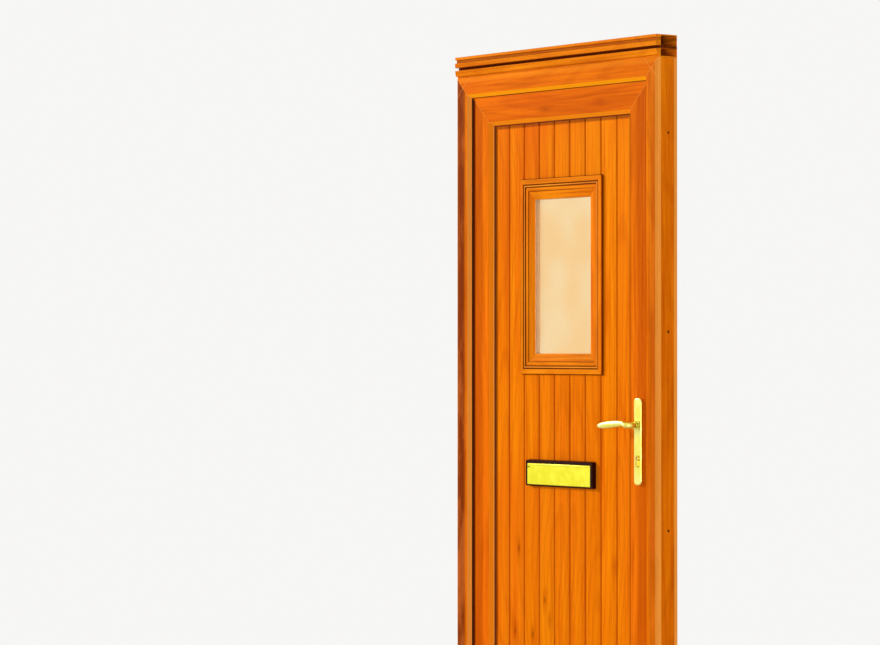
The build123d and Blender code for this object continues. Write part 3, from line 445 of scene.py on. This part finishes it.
boardLook = {
    "pitch": 0.070,
    "seed": 6.6,
    "toneSeed": 0.37,
    "toneShare": 0.13,        # how much the boards differ in tone
    "printShift": 0.9,        # how far the print moves between boards, at most
    "grooveDepth": (0.0001, 0.0026),      # below the face, where painted shade in the grooves starts and is full
    "grooveShadeShare": 0.52,
    "slopeShadeRange": (0.55, 1.0),    # painted shade: each board is darker beside its right hand groove
    "slopeShadeShare": 0.22,
    "seal": (-0.002, 0.0021),     # dark line round the moulding and the letterplate: a seal, with painted shade
    "sealShadeSoft": 0.0009,
    "sealShadeShare": 0.8,
    "beadShadowReach": (0.0085, 0.0155),        # painted shadow along the beads
    "beadShadowShare": 0.62,
}


def farOutside(x, z, low, high):
    # distance from a fitting that is centred across the door, and negative on it
    centre = (low.z + high.z) / 2
    return (abs(x) - high.x).maths("MAXIMUM", abs(z - centre) - (high.z - centre))


def makeBoards():
    # the panel's boards differ a little in tone and grain, and the grooves between them get painted shade
    look = boardLook
    streak = paint(*oakFoil["streak"])
    dark = paint(*oakFoil["knot"])
    recipe = newMaterial("oakPanel")
    x, y, z = recipe.coordinates()
    place = x / look["pitch"] + 0.5       # one board is centred on the door
    board = place.maths("FLOOR")
    slope = place - board
    settings = {"noise_dimensions": "1D"}
    chance = recipe.add("ShaderNodeTexWhiteNoise", settings, {"W": board + look["toneSeed"]})
    shift = chance * look["printShift"]
    colour, relief = oakColour(recipe, oakFoil["panel"], x, z, y, look["seed"], oakKnots["panel"], shift)
    # painted shade in the grooves
    groove = sunkBelow(y, *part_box("infill_panel")).step(*look["grooveDepth"])
    colour = recipe.blend(chance * look["toneShare"], colour, streak)
    # painted shade towards each board's right hand side
    colour = recipe.blend(slope.step(*look["slopeShadeRange"]) * look["slopeShadeShare"], colour, streak)
    colour = recipe.blend(groove * look["grooveShadeShare"], colour, streak)
    for fitting in ("outer_moulding", "letterplate_frame"):
        # a seal line with painted shade where each fitting meets the panel
        seal = band(farOutside(x, z, *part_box(fitting)), *look["seal"], look["sealShadeSoft"])
        colour = recipe.blend(seal * look["sealShadeShare"], colour, dark)
    # painted shadow of the leaf's beads and top rail on the panel
    fromBead = -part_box("hinge_side_bead")[1].x - abs(x)
    inner = fromBead.maths("MINIMUM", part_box("top_rail")[0].z - z)
    colour = recipe.blend(fadeOut(inner, *look["beadShadowReach"]) * look["beadShadowShare"], colour, dark)
    return finishOak(recipe, colour, relief)


ringLook = {
    "seeds": (8.4, 12.4),     # print of the level sides and of the upright ones
    "corner": (0.0003, 0.001),
    "cornerShare": 0.5,
    "lines": [(0.0138, 0.0177), (0.0211, 0.0245), (0.0341, 0.0354)],     # grooves painted with shade, from the outer edge
    "lineShadeShare": 0.70,
    "lineSoft": 0.0004,
    # painted highlight along the bead
    "bead": (0.0177, 0.0209),
    "beadHighlightShare": 0.22,
    "rim": (0.0045, 0.0080),      # painted shade: the ring's side is dark up to here above the panel
    "rimWidth": (0.002, 0.004),
    "rimShadeShare": 0.85,
    "tape": (255, 240, 232),      # where the ring sits on the glass
    "tapeDepth": (-0.0037, -0.0032),
}


def makeOakRing(name, node):
    # grain follows each side of a moulded ring and turns at its corners
    look = ringLook
    trim = oakFoil["trim"]
    dark = paint(*oakFoil["knot"])
    levelSeed, uprightSeed = look["seeds"]
    low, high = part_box(node)
    panelLow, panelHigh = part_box("infill_panel")
    recipe = newMaterial(name)
    x, y, z = recipe.coordinates()
    centre = (low.z + high.z) / 2
    fromSide = high.x - abs(x)
    fromEnd = (high.z - centre) - abs(z - centre)
    upright = (fromEnd - fromSide) > 0.0
    levelColour, levelRelief = oakColour(recipe, trim, z, x, y, levelSeed)
    uprightColour, uprightRelief = oakColour(recipe, trim, x, z, y, uprightSeed)
    colour = recipe.blend(upright, levelColour, uprightColour)
    relief = levelRelief * (1.0 - upright) + uprightRelief * upright
    corner = fadeOut(abs(fromSide - fromEnd), *look["corner"])
    colour = recipe.blend(corner * look["cornerShare"], colour, paint(*oakFoil["streak"]))
    edge = fromSide.maths("MINIMUM", fromEnd)
    # painted shade in the grooves
    for start, end in look["lines"]:
        line = band(edge, start, end, look["lineSoft"])
        colour = recipe.blend(line * look["lineShadeShare"], colour, dark)
    # painted highlight along the bead
    bead = band(edge, *look["bead"], look["lineSoft"])
    colour = recipe.blend(bead * look["beadHighlightShare"], colour, paint(*oakFoil["seam"]))
    middle = (panelLow.y + panelHigh.y) / 2
    proud = abs(y - middle) - (panelHigh.y - middle)
    # painted shade on the ring's side next to the panel
    rim = fadeOut(proud, *look["rim"]) * fadeOut(edge, *look["rimWidth"])
    colour = recipe.blend(rim * look["rimShadeShare"], colour, dark)
    tape = fadeOut(proud, *look["tapeDepth"])
    colour = recipe.blend(tape, colour, paint(*look["tape"]))
    return finishOak(recipe, colour, relief)


goldPlate = {
    "handle": {"bright": (242, 235, 136), "deep": (234, 225, 96), "roughness": 0.30},
    "flap": {"bright": (220, 214, 55), "deep": (210, 203, 39), "roughness": 0.42},
    "cloud": (26.0, 3.0, 0.6),        # size per metre, detail, roughness
    "cloudRange": (0.35, 0.7),
    "brush": (900.0, 2.0, 0.5),
    "brushStretch": 0.04,
    "roughnessRange": 0.08,
    "bumpStrength": 0.08,
    "bumpDepth": 0.0001,
    # the flap's rolled top edge is painted darker to dim the highlight it catches, above a crease painted
    # with shade
    "roll": (178, 156, 60),
    "rollDepth": (0.0026, 0.0042),
    "rollDimShare": 0.8,
    "dark": (34, 9, 4),
    "crease": (0.0062, 0.0072, 0.0006),
    "creaseShadeShare": 0.4,
    # dark spot at the flap's upper left corner
    "notchAcross": (-0.1425, -0.1305, 0.0006),
    "notchUp": (0.9088, 0.9116, 0.0004),
    "notchShare": 0.85,
}


def makeGold(name, tone, flap=None):
    look = goldPlate
    tones = look[tone]
    recipe = newMaterial(name)
    x, y, z = recipe.coordinates()
    cloud = recipe.noise(recipe.vector(x, y, z), *look["cloud"])
    brush = recipe.noise(recipe.vector(x * look["brushStretch"], y, z), *look["brush"])
    colour = recipe.blend(cloud.step(*look["cloudRange"]), paint(*tones["deep"]), paint(*tones["bright"]))
    if flap:
        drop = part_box(flap)[1].z - z
        # painted darker to dim the rolled edge's highlight
        roll = fadeOut(drop, *look["rollDepth"])
        colour = recipe.blend(roll * look["rollDimShare"], colour, paint(*look["roll"]))
        # painted shade in the crease
        crease = band(drop, *look["crease"])
        colour = recipe.blend(crease * look["creaseShadeShare"], colour, paint(*look["dark"]))
        notch = band(x, *look["notchAcross"]) * band(z, *look["notchUp"])
        colour = recipe.blend(notch * look["notchShare"], colour, paint(*look["dark"]))
    reach = look["roughnessRange"]
    roughness = brush * reach + cloud * reach + (tones["roughness"] - reach)
    bump = recipe.bump(brush, look["bumpStrength"], look["bumpDepth"])
    return recipe.finish({"Base Color": colour, "Metallic": 1.0, "Roughness": roughness, "Normal": bump})


# each finish: first colour, second colour, metallic, roughness, gloss
plainFinishes = {
    "steel": ((176, 178, 178), (150, 152, 154), 1.0, 0.34, 0.5),
    "fasteners": ((188, 188, 180), (160, 158, 148), 1.0, 0.30, 0.5),
    "aluminium": ((190, 192, 194), (176, 178, 181), 1.0, 0.42, 0.5),
    "seal": ((18, 14, 12), (28, 22, 19), 0.0, 0.66, 0.08),
    "packer_plastic": ((34, 34, 35), (44, 44, 45), 0.0, 0.50, 0.3),
    "black_surround": ((34, 9, 4), (50, 14, 5), 0.0, 0.42, 0.04),
    "cylinder_brass": ((226, 196, 92), (206, 174, 74), 1.0, 0.30, 0.5),
}
spacerFinish = ((252, 236, 226), (244, 224, 210), 1.0, 0.12, 0.5)
panelSealFinish = ((126, 54, 12), (108, 44, 8), 0.0, 0.60, 0.10)
plainLook = {
    "cloud": (34.0, 4.0, 0.6),        # size per metre, detail, roughness
    "cloudRange": (0.3, 0.7),
    "lines": (700.0, 2.0, 0.5),
    "lineStretch": 0.05,
    # what the mottling and the lines add to the roughness, and what is taken off for them
    "cloudRough": 0.12,
    "lineRough": 0.06,
    "roughDrop": 0.06,
    "cloudRelief": 0.3,
    "lineRelief": 0.7,
    "bumpStrength": 0.12,
    "bumpDepth": 0.0002,
}


def makePlain(name, finish):
    # metal or plastic with a mottled colour and fine lines along its length
    look = plainLook
    first, second, metal, rough, gloss = finish
    recipe = newMaterial(name)
    x, y, z = recipe.coordinates()
    cloud = recipe.noise(recipe.vector(x, y, z), *look["cloud"])
    lines = recipe.noise(recipe.vector(x, y, z * look["lineStretch"]), *look["lines"])
    colour = recipe.blend(cloud.step(*look["cloudRange"]), paint(*second), paint(*first))
    roughness = cloud * look["cloudRough"] + lines * look["lineRough"] + (rough - look["roughDrop"])
    relief = lines * look["lineRelief"] + cloud * look["cloudRelief"]
    bump = recipe.bump(relief, look["bumpStrength"], look["bumpDepth"])
    return recipe.finish({
        "Base Color": colour,
        "Metallic": metal,
        "Roughness": roughness,
        "Normal": bump,
        "Specular IOR Level": gloss,
    })


glassLook = {
    "tint": (255, 238, 206),
    "second": (255, 232, 192),
    "wave": (7.0, 1.0, 0.4),      # size per metre, detail, roughness
    "waveRange": (0.35, 0.65),
    "roughness": 0.03,
    "bending": 1.45,
    "bumpStrength": 0.05,
    "bumpDepth": 0.0006,
}


def makeGlass():
    look = glassLook
    recipe = newMaterial("windowGlass")
    x, y, z = recipe.coordinates()
    wave = recipe.noise(recipe.vector(x, y, z), *look["wave"])
    tint = recipe.blend(wave.step(*look["waveRange"]), paint(*look["tint"]), paint(*look["second"]))
    bump = recipe.bump(wave, look["bumpStrength"], look["bumpDepth"])
    return recipe.finish({
        "Base Color": tint,
        "Roughness": look["roughness"],
        "Transmission Weight": 1.0,
        "IOR": look["bending"],
        "Normal": bump,
    })


def dress(material, *names):
    for name in names:
        mesh = nodes[name].data
        mesh.materials.clear()
        mesh.materials.append(material)


slotNodes = {}
for part in frame["record"]["subparts"]:
    slotNodes.setdefault(part["material_slot"], []).append(part["node"])
beads = ["top_bead", "bottom_bead", "hinge_side_bead", "lock_side_bead"]
levelBeads, uprightBeads = beads[:2], beads[2:]
frameBoxes = ("frame_head", "frame_head")
leafBoxes = ("frame_gasket", "top_rail")
dress(makeOak("oakHead", "head", *frameBoxes), "frame_head")
dress(makeOak("oakJamb", "jamb", *frameBoxes), "hinge_jamb", "lock_jamb")
dress(makeExtension(), "lower_head_extension", "upper_head_extension")
dress(makeOak("oakRail", "rail", *leafBoxes), "top_rail", "bottom_rail", *levelBeads)
dress(makeOak("oakStile", "stile", *leafBoxes), "hinge_stile", "lock_stile", *uprightBeads)
dress(makeBoards(), "infill_panel")
dress(makeOakRing("oakMoulding", "outer_moulding"), "outer_moulding", "inner_moulding")
goldFinish = makeGold("goldHandle", "handle")
dress(goldFinish, *slotNodes["gold"])
dress(makeGold("goldFlap", "flap", "letter_flap"), "letter_flap", "inner_letter_flap")
dress(makeGlass(), *slotNodes["glazing"])
finishes = {}
for slotName, finish in plainFinishes.items():
    finishes[slotName] = makePlain(slotName, finish)
    dress(finishes[slotName], *slotNodes[slotName])
dress(makePlain("spacer", spacerFinish), "spacer_bar")
dress(makePlain("panelSeal", panelSealFinish), "panel_gaskets")
for pane in slotNodes["glazing"]:
    nodes[pane].visible_shadow = False      # lets the lamps reach the space between the panes
print("finishes made for", len(bpy.data.materials), "materials")


edgeLook = {
    "merge": 0.00001,
    "flatAngle": 0.4,         # degrees, below which neighbouring faces become one
    "bevelAngle": 24.0,
    # width and segments of each kind's rounded edges
    "profile": (0.0008, 2),
    "trim": (0.0005, 2),
    "letterplate": (0.0003, 2),
    "handle": (0.0012, 3),
}


def soften(kind, *names):
    # real extrusions and castings have slightly round edges
    look = edgeLook
    for name in names:
        weld = nodes[name].modifiers.new("weld", "WELD")
        weld.merge_threshold = look["merge"]
        plain = nodes[name].modifiers.new("plain", "DECIMATE")
        plain.decimate_type = "DISSOLVE"
        plain.angle_limit = math.radians(look["flatAngle"])
        bevel = nodes[name].modifiers.new("bevel", "BEVEL")
        bevel.width, bevel.segments = look[kind]
        bevel.limit_method = "ANGLE"
        bevel.angle_limit = math.radians(look["bevelAngle"])
        bevel.use_clamp_overlap = True


profiles = ["frame_head", "hinge_jamb", "lock_jamb", "top_rail", "bottom_rail", "hinge_stile", "lock_stile"]
profiles += ["lower_head_extension", "upper_head_extension"]
hingeLeaves = [name for name in nodes if name.endswith(("_frame_leaf", "_sash_leaf"))]
soften("profile", *profiles)
soften("trim", "outer_moulding", "inner_moulding", "infill_panel", "lock_faceplate", *beads)
soften("trim", "letter_flap", "inner_letter_flap", *hingeLeaves)
soften("letterplate", "letterplate_frame", "inner_letterplate_frame")
soften("handle", "outer_backplate", "inner_backplate")
print("edges softened")


def cornersOf(items):
    return [item for item in items if isinstance(item, bmesh.types.BMVert)]


def edgesOf(items):
    return [item for item in items if isinstance(item, bmesh.types.BMEdge)]


mergeReach = 0.000001     # corners of a new piece that are nearer than this become one


def finishPiece(shape, name, body, slot, material, smooth, *replaced):
    # puts a bmesh in the scene as a piece that rides on a body
    bmesh.ops.remove_doubles(shape, verts=shape.verts, dist=mergeReach)
    bmesh.ops.recalc_face_normals(shape, faces=shape.faces)
    for face in shape.faces:
        face.smooth = smooth
    mesh = bpy.data.meshes.new(name)
    shape.to_mesh(mesh)
    shape.free()
    mesh.materials.append(material)
    piece = bpy.data.objects.new(name, mesh)
    bpy.context.scene.collection.objects.link(piece)
    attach(piece, body)
    if replaced:
        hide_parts(*replaced)
    return piece


leverLook = {
    "spindle": (0.363, 1.040),
    "segments": 16,
    "neckRadius": 0.0092,
    "neckFrom": 0.0045,       # out from the leaf's face
    "standoff": 0.0418,
    "bendRadius": 0.014,
    "bendSteps": 5,
    # along the grip: reach from the spindle, rise, half height, half depth
    "sections": [
        (0.022, 0.0046, 0.0082, 0.0068),
        (0.031, 0.0045, 0.0088, 0.0064),
        (0.049, 0.0038, 0.0096, 0.0062),
        (0.066, 0.0027, 0.0103, 0.0061),
        (0.083, 0.0012, 0.0106, 0.0060),
        (0.101, -0.0006, 0.0102, 0.0056),
        (0.116, -0.0021, 0.0090, 0.0050),
        (0.127, -0.0031, 0.0066, 0.0042),
        (0.1335, -0.0037, 0.0032, 0.0026),
    ],
    "rounding": 2,
}


def makeLever(name, replaced, inward):
    # a round neck that bends into a leaf shaped grip
    look = leverLook
    leafLow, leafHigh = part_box("lock_stile")
    spindleX, spindleZ = look["spindle"]
    shape = bmesh.new()
    bmesh.ops.create_circle(shape, segments=look["segments"], radius=look["neckRadius"])
    bmesh.ops.rotate(shape, verts=shape.verts, matrix=Matrix.Rotation(math.radians(90), 3, "X"))
    start = Vector((spindleX, leafLow.y - look["neckFrom"], spindleZ))
    bmesh.ops.translate(shape, verts=shape.verts, vec=start)
    straight = look["standoff"] - look["bendRadius"] - look["neckFrom"]
    ring = bmesh.ops.extrude_edge_only(shape, edges=shape.edges[:])["geom"]
    bmesh.ops.translate(shape, verts=cornersOf(ring), vec=(0, -straight, 0))
    pivot = (spindleX - look["bendRadius"], start.y - straight, spindleZ)
    last = [item for item in ring if not isinstance(item, bmesh.types.BMFace)]
    ring = bmesh.ops.spin(shape, geom=last, cent=pivot, axis=(0, 0, 1), angle=math.radians(-90),
                          steps=look["bendSteps"])["geom_last"]
    centre = Vector((pivot[0], leafLow.y - look["standoff"], spindleZ))
    height = depth = look["neckRadius"]
    for reach, rise, halfHeight, halfDepth in look["sections"]:
        ring = bmesh.ops.extrude_edge_only(shape, edges=edgesOf(ring))["geom"]
        bmesh.ops.scale(shape, verts=cornersOf(ring), vec=(1, halfDepth / depth, halfHeight / height),
                        space=Matrix.Translation(-centre))
        target = Vector((spindleX - reach, centre.y, spindleZ + rise))
        bmesh.ops.translate(shape, verts=cornersOf(ring), vec=target - centre)
        centre, height, depth = target, halfHeight, halfDepth
    bmesh.ops.holes_fill(shape, edges=[edge for edge in shape.edges if edge.is_boundary])
    if inward:
        middle = Matrix.Translation((0, -(leafLow.y + leafHigh.y) / 2, 0))
        bmesh.ops.scale(shape, verts=shape.verts, vec=(1, -1, 1), space=middle)
    piece = finishPiece(shape, name, "levers", "gold", goldFinish, True, replaced)
    rounding = piece.modifiers.new("rounding", "SUBSURF")
    rounding.levels = rounding.render_levels = look["rounding"]


makeLever("outerLeafLever", "outer_lever", False)
makeLever("innerLeafLever", "inner_lever", True)
print("levers made")


screwLook = {
    "segments": 24,
    "radius": 0.0040,
    "proud": 0.0010,
    "sink": 0.0002,
    "rimShadeShare": 0.8,          # of the radius and of the height, where the head turns down
    "crossSize": 0.0021,      # half the width of the cross recess
    "crossArm": 0.0007,       # half the width of one arm
    "crossDepth": 0.0008,
    # hinge screws: from the hinge leaf's edge, depth of its face, and above and below its middle
    "frameEdge": 0.012,
    "frameFace": 0.039,
    "sashEdge": 0.014,
    "sashFace": 0.055,
    "hingeRise": 0.030,
    "faceplateHeights": (0.300, 0.560, 0.880, 1.140, 1.500, 1.760),
}


def makeScrews(name, body, places, turn):
    # raised heads with a cross recess; the first is shaped, turned to its face and then copied
    look = screwLook
    rimRadius = look["radius"] * look["rimShadeShare"]
    rimHeight = look["proud"] * look["rimShadeShare"]
    spread = 1 / look["rimShadeShare"]
    shape = bmesh.new()
    steps = look["segments"] // 4         # the grid's edge has as many corners as the rim
    bmesh.ops.create_grid(shape, x_segments=steps, y_segments=steps, size=look["crossSize"])
    cross = []
    for face in shape.faces:
        middle = face.calc_center_median()
        if min(abs(middle.x), abs(middle.y)) < look["crossArm"]:
            cross.append(face)
    inner = [edge for edge in shape.edges if edge.is_boundary]
    sunk = bmesh.ops.extrude_face_region(shape, geom=cross)["geom"]
    bmesh.ops.delete(shape, geom=cross, context="FACES")
    bmesh.ops.translate(shape, verts=cornersOf(sunk), vec=(0, 0, -look["crossDepth"]))
    bmesh.ops.translate(shape, verts=shape.verts, vec=(0, 0, look["proud"]))
    rim = bmesh.ops.create_circle(shape, segments=look["segments"], radius=rimRadius)["verts"]
    bmesh.ops.translate(shape, verts=rim, vec=(0, 0, rimHeight))
    outer = [edge for edge in shape.edges if edge.is_wire]
    bmesh.ops.bridge_loops(shape, edges=inner + outer)
    side = bmesh.ops.extrude_edge_only(shape, edges=outer)["geom"]
    bmesh.ops.scale(shape, verts=cornersOf(side), vec=(spread, spread, 1))
    bmesh.ops.translate(shape, verts=cornersOf(side), vec=(0, 0, -rimHeight - look["sink"]))
    bmesh.ops.holes_fill(shape, edges=[edge for edge in shape.edges if edge.is_boundary])
    bmesh.ops.rotate(shape, verts=shape.verts, matrix=turn)
    bmesh.ops.translate(shape, verts=shape.verts, vec=places[0])
    first = shape.verts[:] + shape.edges[:] + shape.faces[:]
    for place in places[1:]:
        copy = bmesh.ops.duplicate(shape, geom=first)["geom"]
        bmesh.ops.translate(shape, verts=cornersOf(copy), vec=Vector(place) - Vector(places[0]))
    finishPiece(shape, name, body, "fasteners", finishes["fasteners"], False)


def hingePlaces(side, node):
    look = screwLook
    low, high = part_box(node)
    across = low.x + look["frameEdge"] if side == "frame" else high.x - look["sashEdge"]
    middle = (low.z + high.z) / 2
    heights = (middle - look["hingeRise"], middle + look["hingeRise"])
    return [(across, look[side + "Face"], height) for height in heights]


facingIn = Matrix.Rotation(math.radians(-90), 3, "X")
facingSide = Matrix.Rotation(math.radians(90), 3, "Y")
for side, body in (("frame", "frame"), ("sash", "leaf")):
    places = []
    for level in ("lower", "middle", "upper"):
        places += hingePlaces(side, level + "_hinge_" + side + "_leaf")
    makeScrews(side + "HingeScrews", body, places, facingIn)
plateLow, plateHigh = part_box("lock_faceplate")
plateMiddle = (plateLow.y + plateHigh.y) / 2
places = [(plateHigh.x, plateMiddle, height) for height in screwLook["faceplateHeights"]]
makeScrews("faceplateScrews", "leaf", places, facingSide)
print("screws made")


stageLook = {
    "floorColour": (0.74, 0.735, 0.72),
    "floorRoughness": 0.9,
    "floorGloss": 0.1,
    "backColour": (0.93, 0.925, 0.915),
    "floorSize": 60.0,
    "fade": (1.4, 4.4),       # distances between which the floor turns into the background
}


def seenRays(recipe):
    # rays from the camera, from shiny metal and through glass see the plain background
    camera = recipe.add("ShaderNodeLightPath", output="Is Camera Ray")
    glossy = recipe.add("ShaderNodeLightPath", output="Is Glossy Ray")
    through = recipe.add("ShaderNodeLightPath", output="Is Transmission Ray")
    return camera.maths("MAXIMUM", glossy).maths("MAXIMUM", through)


def makeFloor():
    look = stageLook
    mesh = bpy.data.meshes.new("floor")
    shape = bmesh.new()
    bmesh.ops.create_grid(shape, x_segments=1, y_segments=1, size=look["floorSize"])
    bmesh.ops.translate(shape, verts=shape.verts, vec=(0, 0, cadLow.z))
    shape.to_mesh(mesh)
    shape.free()
    floor = bpy.data.objects.new("floor", mesh)
    bpy.context.scene.collection.objects.link(floor)
    recipe = newMaterial("floor")
    x, y = recipe.coordinates()[:2]
    distant = (x * x + y * y).maths("SQRT").step(*look["fade"])
    matt = recipe.add("ShaderNodeBsdfPrincipled", None, {
        "Base Color": look["floorColour"],
        "Roughness": look["floorRoughness"],
        "Specular IOR Level": look["floorGloss"],
    })
    glow = recipe.add("ShaderNodeEmission", None, {"Color": look["backColour"], "Strength": 1.0})
    shader = recipe.add("ShaderNodeMixShader", None, [distant * seenRays(recipe), matt, glow])
    recipe.close("Material", shader)
    mesh.materials.append(recipe.owner)


lightLook = {
    "sky": (0.96, 0.97, 1.0),
    "skyStrength": 0.32,
    "key": {"place": (-5.6, -3.9, 3.7), "size": 1.33, "power": 440.0, "colour": (1.0, 0.98, 0.94)},
    "fill": {"place": (4.2, -3.9, 0.8), "size": 2.4, "power": 118.0, "colour": (1.0, 0.96, 0.93)},
    "back": {"place": (1.5, 4.5, 3.4), "size": 3.0, "power": 200.0, "colour": (1.0, 0.99, 0.97)},
    "aim": (0.0, 0.0, 1.1),
}


def makeWorld():
    world = bpy.data.worlds.new("studio")
    bpy.context.scene.world = world
    recipe = Recipe(world)
    sky = {"Color": lightLook["sky"], "Strength": lightLook["skyStrength"]}
    fill = recipe.add("ShaderNodeBackground", None, sky)
    back = {"Color": stageLook["backColour"], "Strength": 1.0}
    seen = recipe.add("ShaderNodeBackground", None, back)
    recipe.close("World", recipe.add("ShaderNodeMixShader", None, [seenRays(recipe), fill, seen]))


def makeLight(name):
    look = lightLook[name]
    data = bpy.data.lights.new(name, "AREA")
    data.shape = "SQUARE"
    data.size = look["size"]
    data.energy = look["power"]
    data.color = look["colour"]
    lamp = bpy.data.objects.new(name, data)
    lamp.visible_camera = lamp.visible_transmission = False      # not seen, nor seen through the window
    lamp.location = look["place"]
    lamp.rotation_euler = (Vector(lightLook["aim"]) - lamp.location).to_track_quat("-Z", "Y").to_euler()
    bpy.context.scene.collection.objects.link(lamp)


cameraLook = {
    "place": (7.1946, -5.8158, 1.251),
    "turn": 53.2369,      # degrees round from straight ahead
    "rise": 0.479,
    "lens": 131.54,
    "sensor": 36.0,
    "sight": 200.0,
}


def makeCamera():
    look = cameraLook
    data = bpy.data.cameras.new("camera")
    data.lens = look["lens"]
    data.sensor_width = look["sensor"]
    data.clip_end = look["sight"]
    camera = bpy.data.objects.new("camera", data)
    camera.location = look["place"]
    camera.rotation_euler = (math.radians(90 + look["rise"]), 0.0, math.radians(look["turn"]))
    bpy.context.scene.collection.objects.link(camera)
    bpy.context.scene.camera = camera


makeFloor()
makeWorld()
for lampName in ("key", "fill", "back"):
    makeLight(lampName)
makeCamera()
bpy.context.scene.view_settings.view_transform = "Standard"
print("stage, lights and camera placed")
